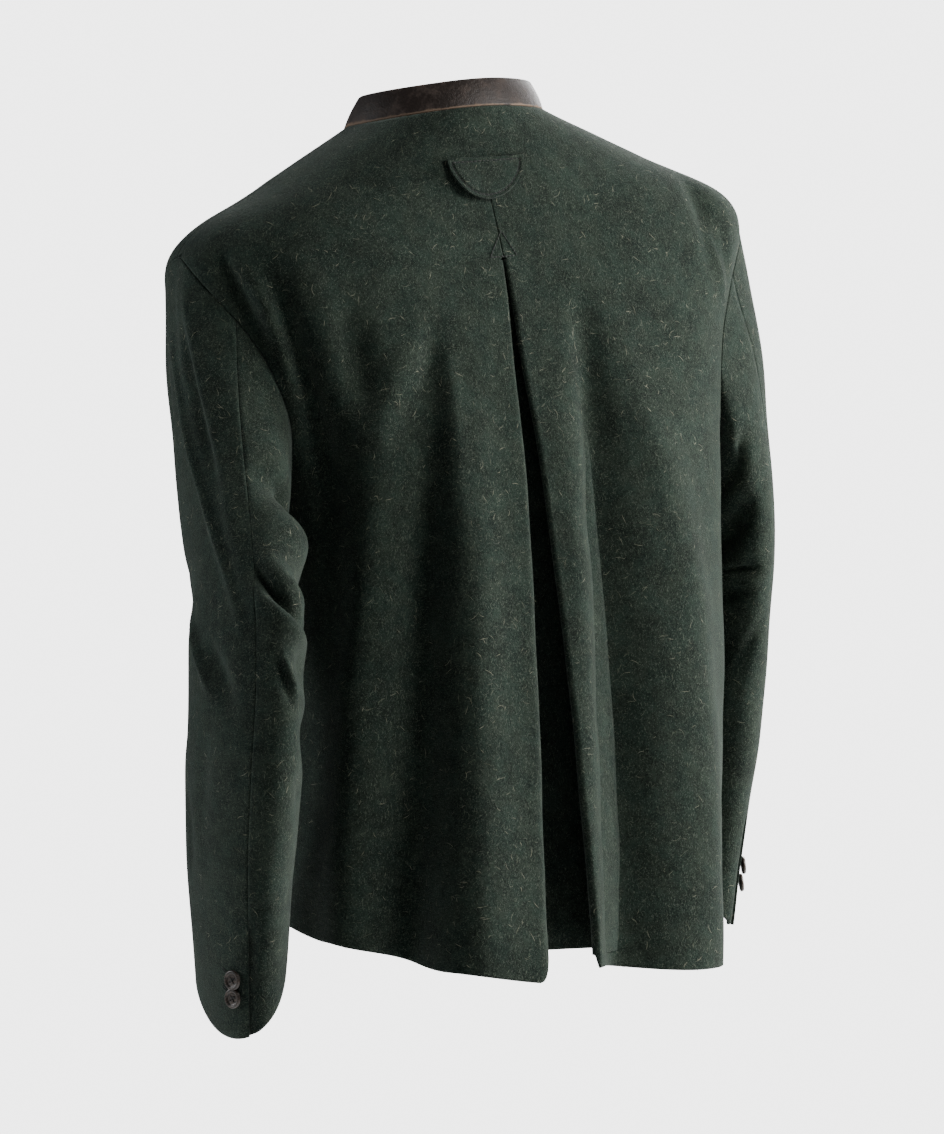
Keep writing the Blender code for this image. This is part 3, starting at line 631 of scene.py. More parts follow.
strip_w = EVEN_W[open_rows]
left_end, right_end = edges_at[1][:, -1], edges_at[-1][:, -1]
strip_share = np.linspace(0, 1, 25)
low_y = np.minimum(left_end[:, 1], right_end[:, 1]) - SEAM_GAP - 0.0001
strip_z = (left_end[:, 2] + right_end[:, 2]) / 2
strip_z = strip_z + 0.003 * soft_step(-0.45, -0.65, strip_z)
start_x, end_x = left_end[:, 0] - 0.002, right_end[:, 0] + 0.002
strip = np.stack((
    start_x[:, None] + (end_x - start_x)[:, None] * strip_share,
    low_y[:, None] - 0.004 * np.sin(np.pi * strip_share),
    np.broadcast_to(strip_z[:, None], (len(strip_w), len(strip_share))),
), -1)
pleat_strip = wall("pleat_strip", posed(strip).reshape(-1, 3), grid(*strip.shape[:2]))
pleat_strip.data.materials.append(wool)
place_cloth(pleat_strip, "pleat_underlay")


# The fronts: two panels of the same wool that lap 18 mm past the centre front, the left over the
# right, with turned and pressed edges and no pockets.

FRONT_OVERLAP = 0.018
FRONT_STEPS = 76


def front(name, side):
    share = np.linspace(0, 1, FRONT_STEPS + 1)
    end = angle_at_x(EVEN_W, -side * FRONT_OVERLAP, 270)
    start = 360 if side > 0 else 180
    angles = start + (end - start)[:, None] * share - side * taken(FRONT_SCYE)[:, None] * (1 - share) ** 3
    levels = panel_levels(share)
    flat = body(levels, angles)
    if side < 0:
        tucked = (CLOTH + 2 * SEAM_GAP) * soft_step(-0.050, -0.024, flat[..., 0])
        flat = flat - normals(levels, angles) * tucked[..., None]
    squares = grid(len(EDGE_W), FRONT_STEPS + 1)
    cloths[name] = (posed(flat).reshape(-1, 3), squares if side > 0 else squares[:, ::-1])
    made = wall(name, *cloths[name])
    made.data.materials.append(wool)
    return made


front_left = front("left_front_cloth", 1)
front_right = front("right_front_cloth", -1)
place_cloth(front_left, "front_left")
place_cloth(front_right, "front_right")


# The sleeves: a top and an under piece each, set into the armhole, with the hind seam left open
# above the cuff as a vent. The elbows are bent a little, so the cloth creases at the inner elbow.

# Sections down a sleeve: the middle, then half width, half depth, slopes of the ring and its twist.
LEFT_SLEEVE = (
    (0.199, 0.002, -0.190, 0.035, 0.080, 0.100, 0.000, 0.0),
    (0.205, 0.020, -0.237, 0.034, 0.080, 0.073, 0.000, -2.0),
    (0.208, 0.045, -0.288, 0.035, 0.078, 0.042, -0.004, -5.0),
    (0.213, 0.074, -0.338, 0.036, 0.074, 0.020, -0.006, -8.0),
    (0.221, 0.100, -0.390, 0.036, 0.071, 0.006, -0.006, -10.0),
    (0.228, 0.110, -0.447, 0.036, 0.069, 0.000, -0.008, -10.0),
    (0.227, 0.101, -0.507, 0.034, 0.066, -0.006, -0.014, -10.0),
    (0.221, 0.086, -0.565, 0.031, 0.061, -0.018, -0.022, -9.0),
    (0.213, 0.070, -0.621, 0.027, 0.055, -0.034, -0.031, -8.0),
)
RIGHT_SLEEVE = (
    (0.231, -0.002, -0.190, 0.017, 0.080, 0.100, 0.000, 0.0),
    (0.241, -0.002, -0.238, 0.023, 0.080, 0.072, 0.000, -2.0),
    (0.247, -0.006, -0.288, 0.027, 0.077, 0.042, -0.002, -5.0),
    (0.250, -0.012, -0.338, 0.031, 0.073, 0.020, -0.004, -8.0),
    (0.252, -0.018, -0.390, 0.034, 0.070, 0.006, -0.006, -10.0),
    (0.252, -0.025, -0.447, 0.035, 0.068, 0.000, -0.008, -10.0),
    (0.249, -0.031, -0.507, 0.034, 0.065, -0.006, -0.014, -10.0),
    (0.244, -0.036, -0.569, 0.031, 0.060, -0.016, -0.020, -9.0),
    (0.240, -0.040, -0.632, 0.027, 0.054, -0.026, -0.028, -8.0),
)
# Elbow folds: share along, angle round, slant, length, width in degrees, depth.
ELBOW_FOLDS = (
    (0.38, 150.0, 50.0, 0.090, 26.0, -0.009),
    (0.50, 135.0, 60.0, 0.080, 24.0, -0.009),
    (0.62, 150.0, 60.0, 0.080, 26.0, -0.006),
    (0.42, 330.0, -60.0, 0.090, 28.0, -0.006),
    (0.58, 300.0, 50.0, 0.080, 28.0, -0.006),
)
# Creases: share along and angle round of the start, middle and end, then width and depth in metres.
HIDDEN_CREASES = (
    (0.36, 215.0, 0.40, 236.0, 0.44, 262.0, 0.0045, -0.0048),
    (0.40, 210.0, 0.44, 232.0, 0.47, 258.0, 0.0080, 0.0030),
    (0.28, 300.0, 0.36, 314.0, 0.43, 318.0, 0.0080, -0.0040),
    (0.55, 288.0, 0.60, 304.0, 0.67, 310.0, 0.0080, -0.0034),
    (0.63, 238.0, 0.66, 254.0, 0.70, 275.0, 0.0060, -0.0030),
    (0.10, 330.0, 0.20, 326.0, 0.30, 318.0, 0.0070, -0.0034),
    (0.70, 340.0, 0.76, 352.0, 0.82, 356.0, 0.0070, -0.0024),
)
LEFT_CREASES = HIDDEN_CREASES + (
    (0.10, -18.0, 0.27, 20.0, 0.46, 53.0, 0.0040, 0.0052),
    (0.00, 17.0, 0.19, 38.0, 0.39, 56.0, 0.0060, 0.0050),
    (0.09, 18.0, 0.19, 31.0, 0.29, 46.0, 0.0070, -0.0070),
    (0.01, 2.0, 0.07, 8.0, 0.15, 10.0, 0.0060, 0.0022),
    (0.22, 66.0, 0.195, 95.0, 0.165, 122.0, 0.0150, -0.0075),
    (0.180, 102.0, 0.188, 128.0, 0.195, 165.0, 0.0090, -0.0150),
    (0.238, 100.0, 0.250, 130.0, 0.255, 160.0, 0.0150, 0.0080),
    (0.330, 76.0, 0.362, 102.0, 0.400, 150.0, 0.0085, 0.0054),
    (0.355, 66.0, 0.395, 92.0, 0.440, 150.0, 0.0038, -0.0100),
    (0.382, 62.0, 0.422, 92.0, 0.462, 142.0, 0.0085, 0.0056),
    (0.450, -14.0, 0.500, 3.0, 0.550, 19.0, 0.0036, 0.0048),
    (0.480, 12.0, 0.520, 28.0, 0.570, 44.0, 0.0090, -0.0070),
    (0.475, 88.0, 0.512, 100.0, 0.550, 114.0, 0.0040, 0.0044),
    (0.475, 82.0, 0.515, 94.0, 0.555, 106.0, 0.0042, -0.0044),
    (0.66, 120.0, 0.70, 132.0, 0.75, 138.0, 0.0090, -0.0030),
    (0.60, 20.0, 0.68, 14.0, 0.78, 18.0, 0.0100, -0.0020),
)
RIGHT_CREASES = HIDDEN_CREASES + (
    (0.446, 152.0, 0.455, 128.0, 0.462, 104.0, 0.0038, -0.0060),
    (0.468, 146.0, 0.478, 124.0, 0.484, 102.0, 0.0070, 0.0040),
    (0.29, 118.0, 0.33, 134.0, 0.37, 152.0, 0.0100, -0.0062),
    (0.08, 20.0, 0.19, 28.0, 0.32, 36.0, 0.0070, -0.0056),
    (0.10, 4.0, 0.24, 14.0, 0.38, 30.0, 0.0042, 0.0042),
    (0.175, 104.0, 0.185, 128.0, 0.195, 160.0, 0.0080, -0.0070),
    (0.52, 20.0, 0.56, 34.0, 0.62, 46.0, 0.0090, -0.0036),
    (0.56, 96.0, 0.60, 112.0, 0.65, 124.0, 0.0060, -0.0030),
)
HIND_TURN, FORE_TURN = 180 * 4 / 11, 180 * 15 / 11
BLEND = 0.42
SHOULDER_STEP = 0.006
SEAM_ALLOWANCE = 0.004
VENT_LENGTH, VENT_LAP = 0.085, 0.016
VENT_TOP = 1 - VENT_LENGTH / 0.6
SEAM_RADIUS, CUFF_RADIUS, CUFF_RUN = 0.033, 0.05, 0.50
SLEEVE_ROWS = 190


class Sleeve:
    """One side's sleeve: its sections, the armhole edge it starts from, its creases and its surface."""

    def __init__(self, side, table, creases):
        self.side, self.table = side, table
        self.rim_turns = np.linspace(-180, 180, 721)
        level, angle = armhole(self.rim_turns)
        angle = angle - np.degrees(SEAM_GAP * 0.8 / BODY[3][LEFT]) * np.sin(np.radians(self.rim_turns))
        level = level + SHOULDER_STEP * np.cos(np.radians(self.rim_turns))
        angle = angle if side > 0 else 180 - angle
        hollow = soft_step(35, 80, np.abs(self.rim_turns))
        out = normals(level, angle)
        self.rim = body(level, angle) + out * (2 * SEAM_GAP * hollow)[..., None]
        self.rim[..., 0] *= side
        self.turned_in = -out * (SEAM_GAP + SEAM_ALLOWANCE * hollow)[..., None]
        self.lines = crease_lines(self.plain, creases)

    def tube(self, where, turn):
        columns = range(len(self.table[0]))
        x, y, z, out, deep, rise, tilt, twist = (read(self.table, k, where) for k in columns)
        c, s = np.cos(np.radians(turn + twist)), np.sin(np.radians(turn + twist))
        return np.stack((x + out * c, y + deep * s, z + rise * c + tilt * s), -1)

    def plain(self, v, turn):
        """The outer face before the stance, without creases, at shares along and angles round."""
        v, turn = np.broadcast_arrays(np.asarray(v, float), np.asarray(turn, float))
        from_tip = (turn + 180) % 360 - 180
        edge = np.stack([np.interp(from_tip, self.rim_turns, self.rim[:, k]) for k in range(3)], -1)
        fade = 1 - soft_step(0, BLEND, v)
        start = self.tube(np.zeros(v.shape), turn)
        flat = self.tube(v * (len(self.table) - 1), turn) + (edge - start) * fade[..., None]
        depth = np.zeros(v.shape)
        for along, round_it, slant, length, width, deep in ELBOW_FOLDS:
            away = (turn - round_it + 180) % 360 - 180
            off = (v - along - away / slant * 0.05) / (length / 2)
            depth += deep * np.exp(-off * off - (away / width) ** 2)
        out = np.stack((np.cos(np.radians(turn)), np.sin(np.radians(turn)), 0 * turn), -1)
        flat = flat + out * (depth * soft_step(0.04, 0.2, v))[..., None]
        flat[..., 0] *= self.side
        return flat

    def points(self, v, turn):
        v, turn = np.broadcast_arrays(np.asarray(v, float), np.asarray(turn, float))
        plain = self.plain(v, turn)
        moved = creased(plain, self.lines) * soft_step(0, 0.06, v)
        moved = moved + unevenness(plain) * soft_step(0.02, 0.1, v)
        return plain + facing(self.plain, v, turn, (0.01, 2), (0, 1), self.side) * moved[..., None]

    def out(self, v, turn):
        return facing(self.points, v, turn, (0.01, 2), (0, 1), self.side)

    def allowance(self, turn):
        """How far the sewn edge of the sleeve turns in behind the armhole, at angles round."""
        from_tip = (turn + 180) % 360 - 180
        return np.stack([np.interp(from_tip, self.rim_turns, self.turned_in[:, k]) for k in range(3)], -1)


def in_vent(v):
    return soft_step(VENT_TOP - 0.02, VENT_TOP + 0.02, v)


def sleeve_piece(name, sleeve, under):
    v = np.linspace(0, 1, SLEEVE_ROWS + 1)
    half_gap = np.degrees(SEWN_GAP / 2 / SEAM_RADIUS)
    start, end = (HIND_TURN, FORE_TURN) if under else (FORE_TURN, HIND_TURN + 360)
    first, last = start + half_gap, end - half_gap
    steps = 62 if under else 76
    share = np.linspace(0, 1, steps + 1)
    vv, turn = np.broadcast_arrays(v[:, None], first + (last - first) * share)
    flat = sleeve.points(vv, turn)
    parts = []
    if under:
        sunk = in_vent(vv) * (1 - soft_step(0, 14, turn - start)) * (CLOTH + 3 * SEAM_GAP)
        flat = flat - sleeve.out(vv, turn) * sunk[..., None]
        low = in_vent(v) > 0.02
        lap = HIND_TURN - np.degrees(np.append(np.linspace(VENT_LAP, 0.0005, 7), 0) / CUFF_RADIUS)
        lap_v = np.broadcast_to(v[low][:, None], (low.sum(), len(lap)))
        lap_turn = np.broadcast_to(lap, lap_v.shape)
        lapped = sleeve.points(lap_v, lap_turn) - sleeve.out(lap_v, lap_turn) * (CLOTH + 4 * SEAM_GAP)
        lapped[:, -1] = flat[low][:, 0]
        parts.append((posed(lapped, True).reshape(-1, 3), grid(*lap_v.shape)))
    turned = sleeve.allowance(turn[0])
    sewn = np.stack((flat[0] + turned, flat[0] + turned / 2))
    flat = np.concatenate((sewn, flat))
    parts.append((posed(flat, True).reshape(-1, 3), grid(len(flat), steps + 1)))
    flip = slice(None, None, -1) if sleeve.side > 0 else slice(None)
    points, squares = join(*((p, s[:, flip]) for p, s in parts))
    made = wall(name, points, squares, round_edge=0.00032)
    made.data.materials.append(wool)
    cloths[name] = (points, squares)
    return made


sleeves = {"left": Sleeve(1, LEFT_SLEEVE, LEFT_CREASES), "right": Sleeve(-1, RIGHT_SLEEVE, RIGHT_CREASES)}
for label, sleeve in sleeves.items():
    made = sleeve_piece(f"{label}_top_sleeve", sleeve, under=False)
    place_cloth(made, f"{label}_sleeve_top")
    made = sleeve_piece(f"{label}_under_sleeve", sleeve, under=True)
    place_cloth(made, f"{label}_sleeve_under")


# The collar: a band of dark brown waxed leather, 2.8 mm thick and cut 25.5 mm high, that stands on
# the neck seam and leans in. It is rubbed tan along the seam and a little at its top edge.

LEATHER = 0.0028
COLLAR_HEIGHT, COLLAR_LEAN, COLLAR_GAP = 0.023, 0.011, 0.0015

leather = Finish("waxed_leather", {"Specular IOR Level": 0.3, "Coat Weight": 0.04, "Coat Roughness": 0.4})
where = leather.place()
up = leather.node("Attribute", {"attribute_name": "mark"}, out="Fac")
patch = leather.noise(where, 70, 4, 0.6)
fine = leather.noise(where, 420, 4, 0.6)
worn = leather.window(patch * 0.7 + fine * 0.3, 0.45, 0.66)
colour = leather.blend(worn, (0.016, 0.010, 0.0078, 1), (0.048, 0.034, 0.028, 1))
foot_rub = leather.window(0.09 - up + (patch - 0.5) * 0.42, 0.0, 0.10)
top_rub = leather.window(up - 0.97 + (fine - 0.5) * 0.45, 0.0, 0.1)
colour = leather.blend(foot_rub * 0.8, colour, (0.20, 0.135, 0.092, 1))
colour = leather.blend(top_rub * 0.6, colour, (0.26, 0.17, 0.12, 1))
leather.feed("Base Color", colour)
leather.feed("Roughness", 0.50 + 0.22 * worn + 0.15 * foot_rub)
pore_links = {"Vector": where, "Scale": 900, "Smoothness": 0.6}
pores = leather.node("TexVoronoi", {"feature": "SMOOTH_F1"}, pore_links)
leather.bump(pores * 0.35 + fine * 0.9 + patch * 0.8, 0.0007, 0.7)

neck = np.zeros(1)
collar_start = angle_at_x(neck, COLLAR_GAP, 270)[0] - 360
collar_end = angle_at_x(neck, -COLLAR_GAP, 270)[0]
around, upward = np.linspace(collar_start, collar_end, 261), np.linspace(0, 1, 19)
foot = body(0, around)
down = body(0.05, around) - foot
foot = foot - down / np.linalg.norm(down, axis=1, keepdims=True) * SEAM_GAP * 0.3
away = np.stack((np.cos(np.radians(around)), np.sin(np.radians(around)), 0 * around), -1)
from_front = np.minimum(around - collar_start, collar_end - around) / 360 * 0.45
height = COLLAR_HEIGHT * (1 - 0.28 * np.exp(-((from_front / 0.006) ** 2)))
height = height + 0.0004 * np.sin(np.radians(around * 3 + 40))
swell = 0.0011 * np.sin(np.pi * upward)[:, None]
swell = swell + 0.0005 * np.sin(np.radians(around * 5))[None] * upward[:, None]
band = foot + upward[:, None, None] * height[None, :, None] * np.array((0, 0, 1))
band = band - away * (COLLAR_LEAN * upward[:, None] - swell)[..., None]
marks = np.broadcast_to(upward[:, None], band.shape[:2]).reshape(-1)
collar = wall("collar_band", posed(band).reshape(-1, 3), grid(*band.shape[:2]), LEATHER, 0.0011, marks)
collar.data.materials.append(leather.made)
place_cloth(collar, "collar")


# The back tab: a half-moon of the same wool over the head of the centre seam, 66 mm across, with
# a row of stitches 3.4 mm in. Its left corner stands a little off the back.

TAB_X, TAB_TOP_Z, TAB_RADIUS, TAB_STITCH = 0.011, -0.036, 0.033, 0.0034


def on_back(x, z):
    """Level and angle of the back at places given by x and height."""
    w, angle = np.full(np.shape(x), 1.0), np.full(np.shape(x), 90.0)
    for _ in range(9):
        here = body(w, angle)
        down = (body(w + 0.01, angle) - body(w - 0.01, angle))[..., 2] / 0.02
        along = (body(w, angle + 0.5) - body(w, angle - 0.5))[..., 0]
        w = w - (here[..., 2] - z) / down
        angle = angle - (here[..., 0] - x) / along
    return w, angle


thread_look = {"Base Color": (0.004, 0.006, 0.005, 1), "Roughness": 0.62, "Sheen Weight": 0.2}
thread = Finish("dark_thread", thread_look)


def stitches(name, places, outs, length=0.0026, gap=0.0010, radius=0.00026, sides=6):
    """A row of sewn stitches along a line: each is a short thread that dips into the cloth at its ends."""
    run = np.concatenate(([0], np.cumsum(np.linalg.norm(np.diff(places, axis=0), axis=1))))
    starts = np.arange(gap / 2, run[-1] - length, length + gap)
    turn = np.linspace(0, 2 * np.pi, sides, endpoint=False)
    rings, faces = [], []
    for start in starts:
        share = np.linspace(0, 1, 6)
        at = start + length * share
        place = np.stack([np.interp(at, run, places[:, k]) for k in range(3)], -1)
        out = np.stack([np.interp(at, run, outs[:, k]) for k in range(3)], -1)
        along = place[-1] - place[0]
        along /= np.linalg.norm(along)
        across = np.cross(out, along)
        place = place + out * (radius * 1.6 * (np.sin(np.pi * share) ** 0.7) - radius)[:, None]
        first = sum(len(ring) for ring in rings)
        for k in range(6):
            round_it = np.cos(turn)[:, None] * across[k] + np.sin(turn)[:, None] * out[k]
            rings.append(place[k] + radius * round_it)
        for k in range(5):
            for m in range(sides):
                after = (m + 1) % sides
                low, high = first + k * sides, first + (k + 1) * sides
                faces.append((low + m, low + after, high + after, high + m))
    made = new_piece(name, np.concatenate(rings), faces)
    made.data.materials.append(thread.made)
    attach(made, "root")


def on_tab(across, down):
    """Places and outward directions of the tab's face, from its top middle."""
    w, angle = on_back(TAB_X + across, TAB_TOP_Z - down)
    reach, turn = np.hypot(across, down) / TAB_RADIUS, np.arctan2(down, across)
    lift = 2 * SEAM_GAP + 0.0035 * soft_step(0.4, 1.0, reach) * np.exp(-(((turn - 0.8) / 0.6) ** 2))
    out = normals(w, angle)
    return body(w, angle) + out * (lift + CLOTH)[..., None], out


tab_rings = np.concatenate((np.linspace(0, 0.8, 15), np.linspace(0.81, 1, 20)))
tab_turns = np.pi * soft_step(0, 1, np.linspace(0, 1, 97))
reach, turn = np.meshgrid(tab_rings, tab_turns, indexing="ij")
across, down = TAB_RADIUS * reach * np.cos(turn), TAB_RADIUS * reach * np.sin(turn)
flat, out = on_tab(across, down)
to_edge = np.minimum(TAB_RADIUS * (1 - reach), down)
dip = 0.0010 * np.exp(-(((to_edge - TAB_STITCH) / 0.0009) ** 2)) * soft_step(0.05, 0.2, reach)
points, squares = join((posed(flat - out * dip[..., None]).reshape(-1, 3), grid(*reach.shape)[:, ::-1]))
tab = wall("half_moon_tab", points, squares, round_edge=0.0008)
tab.data.materials.append(wool)
cloths["half_moon_tab"] = (points, squares)
place_cloth(tab, "back_tab")

inner = TAB_RADIUS - TAB_STITCH
ends = math.asin(TAB_STITCH / inner)
arc = np.linspace(ends, math.pi - ends, 90)
top_run = np.linspace(-inner * math.cos(ends), inner * math.cos(ends), 60)[1:]
across = np.concatenate((inner * np.cos(arc), top_run))
down = np.concatenate((inner * np.sin(arc), np.full(len(top_run), TAB_STITCH)))
flat, out = on_tab(across, down)
stitches("tab_stitches", posed(flat - out * 0.0006), out, radius=0.0004)


# The tack: a small triangle of stitches that closes the head of the pleat, 23 mm wide and 20 mm
# high, in the same dark thread as the tab.

TACK_HALF, TACK_HEIGHT, TACK_FOOT_Z = 0.0115, 0.020, -0.1135
middle_x = BODY[TIP][SHIFT]
corners = ((-TACK_HALF, 0), (0, TACK_HEIGHT), (TACK_HALF, 0), (-TACK_HALF, 0))
LEG_POINTS = 12
share = np.linspace(0, 1, LEG_POINTS)[:, None]
legs = [np.array(a) + (np.array(b) - np.array(a)) * share for a, b in zip(corners, corners[1:])]
walk = np.concatenate(legs)
w, angle = on_back(middle_x + walk[:, 0], TACK_FOOT_Z + walk[:, 1])
for k in range(len(legs)):
    leg = slice(LEG_POINTS * k, LEG_POINTS * (k + 1))
    place, out = body(w[leg], angle[leg]), normals(w[leg], angle[leg])
    stitches(f"tack_stitches_{k + 1}", posed(place + out * 0.0002), out, 0.0026, 0.0004, 0.00042)


# The lap's stitching: a row down the left front, 6 mm in from its edge, in the same dark thread.

LAP_INSET = 0.006
w = np.linspace(0.12, 6.9, 160)
angle = angle_at_x(w, LAP_INSET - FRONT_OVERLAP, 270)
place, out = body(w, angle), normals(w, angle)
stitches("lap_stitches", posed(place - out * 0.0001), out)


# The buttons: nine dark horn discs with a raised rim and four holes, sewn on with crossed thread.
# Five 20 mm ones close the front, and two 15 mm ones overlap beside each cuff's vent.

FRONT_BUTTON_RADIUS, CUFF_BUTTON_RADIUS = 0.0100, 0.0074
FRONT_BUTTON_COUNT, FRONT_BUTTON_TOP, FRONT_BUTTON_LOW = 5, 0.35, 6.0
BUTTON_CLEAR, KISS_TILT, KISS_SPACING = 0.0008, math.radians(12), 0.0116
CUFF_BUTTON_UP, CUFF_BUTTON_IN = 0.027, 0.0135
HOLE_SPREAD, LEVEL_RUN = 0.215, 0.09

horn = Finish("dark_horn", {"Coat Weight": 0.25, "Coat Roughness": 0.18, "IOR": 1.52})
where = horn.place()
streak = horn.noise(horn.stretched(where, (0.1, 0.2, 0.5), (0.006, 0.0012, 0.0012)), 1.0, 4, 0.6)
tone = horn.window(streak, 0.38, 0.68)
horn.feed("Base Color", horn.blend(tone, (0.016, 0.011, 0.009, 1), (0.085, 0.060, 0.045, 1)))
horn.feed("Roughness", 0.24 + 0.18 * streak)
horn.bump(streak + horn.noise(where, 2400, 2, 0.5) * 0.3, 0.00015, 0.6)


def button_height(reach, turn, radius):
    """The front of a button: a dished middle, a round rim and four drilled holes."""
    rim = 0.0030 - 0.0011 * (1 - soft_step(0.58, 0.74, reach)) - 0.0012 * soft_step(0.86, 1.0, reach) ** 2
    x, y = radius * reach * np.cos(turn), radius * reach * np.sin(turn)
    spread = radius * HOLE_SPREAD
    hole = np.minimum.reduce([np.hypot(x - a * spread, y - b * spread) for a in (-1, 1) for b in (-1, 1)])
    return rim - 0.0013 * (1 - soft_step(radius * 0.070, radius * 0.105, hole))


def sewn_button(name, radius, frame_at, node):
    reach = np.concatenate((np.linspace(0, 0.46, 20), np.linspace(0.5, 0.9, 9), np.linspace(0.93, 1, 4)))
    turn = np.linspace(0, 2 * np.pi, 73)[:-1]
    reach_grid, turn_grid = np.meshgrid(reach, turn, indexing="ij")
    front = np.stack((
        radius * reach_grid * np.cos(turn_grid), radius * reach_grid * np.sin(turn_grid),
        button_height(reach_grid, turn_grid, radius),
    ), -1)
    back_reach, back_height = (0.985, 0.90, 0.60, 0.0), (0.0010, 0.0004, 0.0, 0.0)
    back_rings = [np.stack((radius * r * np.cos(turn), radius * r * np.sin(turn), 0 * turn + z), -1)
                  for r, z in zip(back_reach, back_height)]
    rings = np.concatenate((front, np.array(back_rings)))
    count, spokes = rings.shape[:2]
    number = np.arange(count * spokes).reshape(count, spokes)
    number[0], number[-1] = 0, number[-1][0]
    after = np.roll(number, -1, axis=1)
    squares = np.stack((number[:-1], number[1:], after[1:], after[:-1]), -1).reshape(-1, 4)
    made = new_piece(name, rings.reshape(-1, 3), [tuple(dict.fromkeys(f)) for f in squares.tolist()])
    made.data.materials.append(horn.made)
    made.matrix_world = frame_at
    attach(made, "root")
    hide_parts(node)
    turned = np.array(frame_at.to_3x3())
    spread = radius * HOLE_SPREAD
    run = np.linspace(-1, 1, 9)[:, None]
    for k, (a, b) in enumerate(((1, 1), (-1, 1))):
        line = run * np.array((spread * a, spread * b, 0)) + np.array((0, 0, 0.0019))
        line[:, 2] += 0.0002 * k
        place = line @ turned.T + np.array(frame_at.translation)
        out = np.broadcast_to(turned[:, 2], place.shape)
        stitches(f"{name}_thread_{k + 1}", place, out, spread * 2.7, 0, 0.00034)


def standing(place, out, down, tilt):
    """A button's matrix at a place of the cloth: it faces out, and its lower edge tilts off the cloth."""
    out, down = Vector(out).normalized(), Vector(down)
    side = down.cross(out).normalized()
    down = out.cross(side).normalized()
    turned = Matrix((side, down, out)).transposed().to_4x4()
    return Matrix.Translation(Vector(place)) @ turned @ Matrix.Rotation(tilt, 4, "X")


for k in range(FRONT_BUTTON_COUNT):
    w = np.array([FRONT_BUTTON_TOP + (FRONT_BUTTON_LOW - FRONT_BUTTON_TOP) * k / (FRONT_BUTTON_COUNT - 1)])
    angle = angle_at_x(w, 0, 270)
    place, out = body(w, angle), normals(w, angle)
    below = posed(body(w + 0.05, angle))[0] - posed(place)[0]
    frame_at = standing(posed(place + out * BUTTON_CLEAR)[0], out[0], below, 0)
    sewn_button(f"front_horn_button_{k + 1}", FRONT_BUTTON_RADIUS, frame_at, f"front_button_{k + 1}")
    run = np.linspace(-0.003, 0.020, 12)
    for above, half in enumerate((-0.0009, 0.0009)):
        hole_w = w + half / LEVEL_RUN
        hole_angle = angle_at_x(np.full(len(run), hole_w[0]), run, 270)
        place, out = body(hole_w, hole_angle), normals(hole_w, hole_angle)
        name = f"front_buttonhole_{k + 1}_{above}"
        stitches(name, posed(place + out * 0.0001), out, 0.0011, 0.0002, 0.0004)

for label, sleeve in sleeves.items():
    for k in range(2):
        v = np.array([1 - (CUFF_BUTTON_UP + (1 - k) * KISS_SPACING) / CUFF_RUN])
        turn = np.array([HIND_TURN - math.degrees(CUFF_BUTTON_IN / CUFF_RADIUS)])
        place, out = sleeve.points(v, turn), sleeve.out(v, turn)
        below = posed(sleeve.points(np.minimum(v + 0.03, 1), turn), True)[0] - posed(place, True)[0]
        rise = CUFF_BUTTON_RADIUS * math.sin(KISS_TILT) - 0.0002
        frame_at = standing(posed(place + out * rise, True)[0], out[0], below, KISS_TILT)
        node = f"{label}_cuff_button_{k + 1}"
        sewn_button(f"{label}_cuff_horn_button_{k + 1}", CUFF_BUTTON_RADIUS, frame_at, node)
        run = np.linspace(0, 0.013, 8)
        for above, half in enumerate((-0.0008, 0.0008)):
            hole_v, hole_turn = v + (half - run * 0.4) / CUFF_RUN, turn - np.degrees(run / CUFF_RADIUS)
            place, out = sleeve.points(hole_v, hole_turn), sleeve.out(hole_v, hole_turn)
            name = f"{label}_cuff_buttonhole_{k + 1}_{above}"
            stitches(name, posed(place + out * 0.0001, True), out, 0.0011, 0.0002, 0.0004)


# The kemp: coarse pale hairs of the fleece that took no dye, 2 to 9 mm long. They lie curled on the
# cloth's face, the long ones far apart, and a few stand off it.

chance = np.random.default_rng(11)


def hair_finish(name, dull, bright):
    hair = Finish(name, {"Specular IOR Level": 0.3, "Roughness": 0.6})
    tone = hair.window(hair.noise(hair.place(), 160, 1, 0.5), 0.38, 0.62)
    hair.feed("Base Color", hair.blend(tone, dull, bright))
    return hair.made


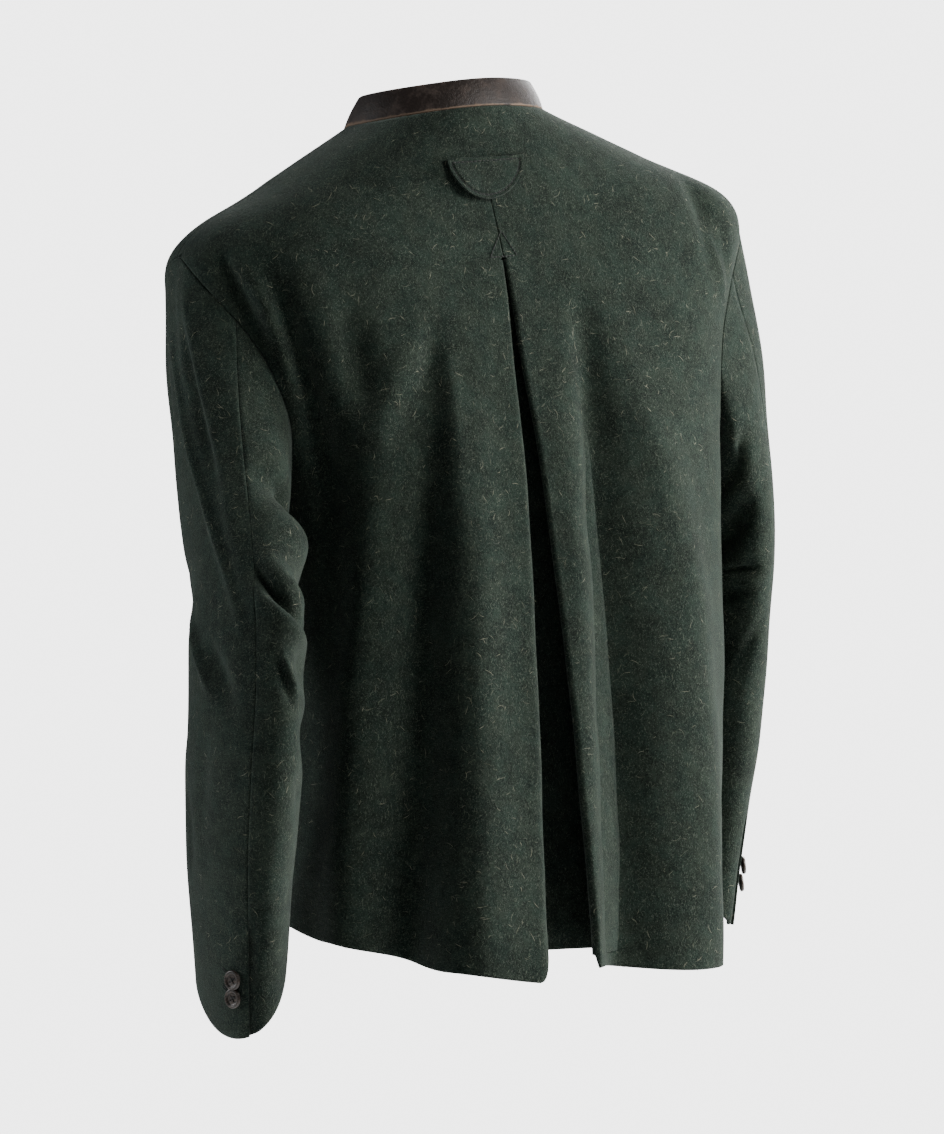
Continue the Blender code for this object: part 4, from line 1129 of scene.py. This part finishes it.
def hairs(name, cloth, per_metre, shortest, longest, breadth, lift, finish, steps=5):
    """Curled ribbons scattered over a cloth's outer face, as one mesh."""
    points, squares = cloth
    corner = points[squares]
    across_it = np.cross(corner[:, 2] - corner[:, 0], corner[:, 3] - corner[:, 1])
    area = np.linalg.norm(across_it, axis=1) / 2
    count = int(area.sum() * per_metre)
    pick = chance.choice(len(squares), count, p=area / area.sum())
    a, b = chance.random((2, count, 1))
    q0, q1, q2, q3 = np.moveaxis(corner[pick], 1, 0)
    place = (1 - a) * (1 - b) * q0 + a * (1 - b) * q1 + a * b * q2 + (1 - a) * b * q3
    out = across_it[pick] / np.linalg.norm(across_it[pick], axis=1, keepdims=True)
    along = np.cross(out, chance.normal(size=(count, 3)))
    along /= np.linalg.norm(along, axis=1, keepdims=True)
    side = np.cross(out, along)
    length = shortest + (longest - shortest) * chance.random(count) ** 2
    bend = chance.normal(0, 0.45, count) * length
    high = lift * length * chance.random(count) ** 3
    rows = []
    for s in np.linspace(-0.5, 0.5, steps + 1):
        middle = place + along * (length * s)[:, None] + side * (bend * (0.25 - s * s))[:, None]
        middle = middle + out * (0.00012 + high * (s + 0.5) ** 2)[:, None]
        edge = side * length[:, None] + along * (2 * s * bend)[:, None]
        edge = edge / np.linalg.norm(edge, axis=1, keepdims=True) * breadth / 2 * (1.15 - 3 * s * s)
        rows.append(np.stack((middle - edge, middle + edge), 1))
    strip = np.stack(rows, 1).reshape(-1, 3)
    first = (np.arange(count) * 2 * (steps + 1))[:, None] + 2 * np.arange(steps)
    faces = np.stack((first, first + 2, first + 3, first + 1), -1).reshape(-1, 4)
    made = new_piece(name, strip, faces.tolist(), smooth=False)
    made.data.materials.append(finish)
    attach(made, "root")


kemp = hair_finish("pale_kemp", (0.10, 0.115, 0.075, 1), (0.34, 0.34, 0.25, 1))
down_hair = hair_finish("dull_kemp", (0.040, 0.056, 0.040, 1), (0.12, 0.14, 0.10, 1))
for name, cloth in cloths.items():
    hairs(f"{name}_kemp", cloth, 3600, 0.0035, 0.0085, 0.00020, 0.10, kemp)
    hairs(f"{name}_short_kemp", cloth, 24000, 0.0018, 0.0045, 0.00020, 0.22, down_hair, 3)
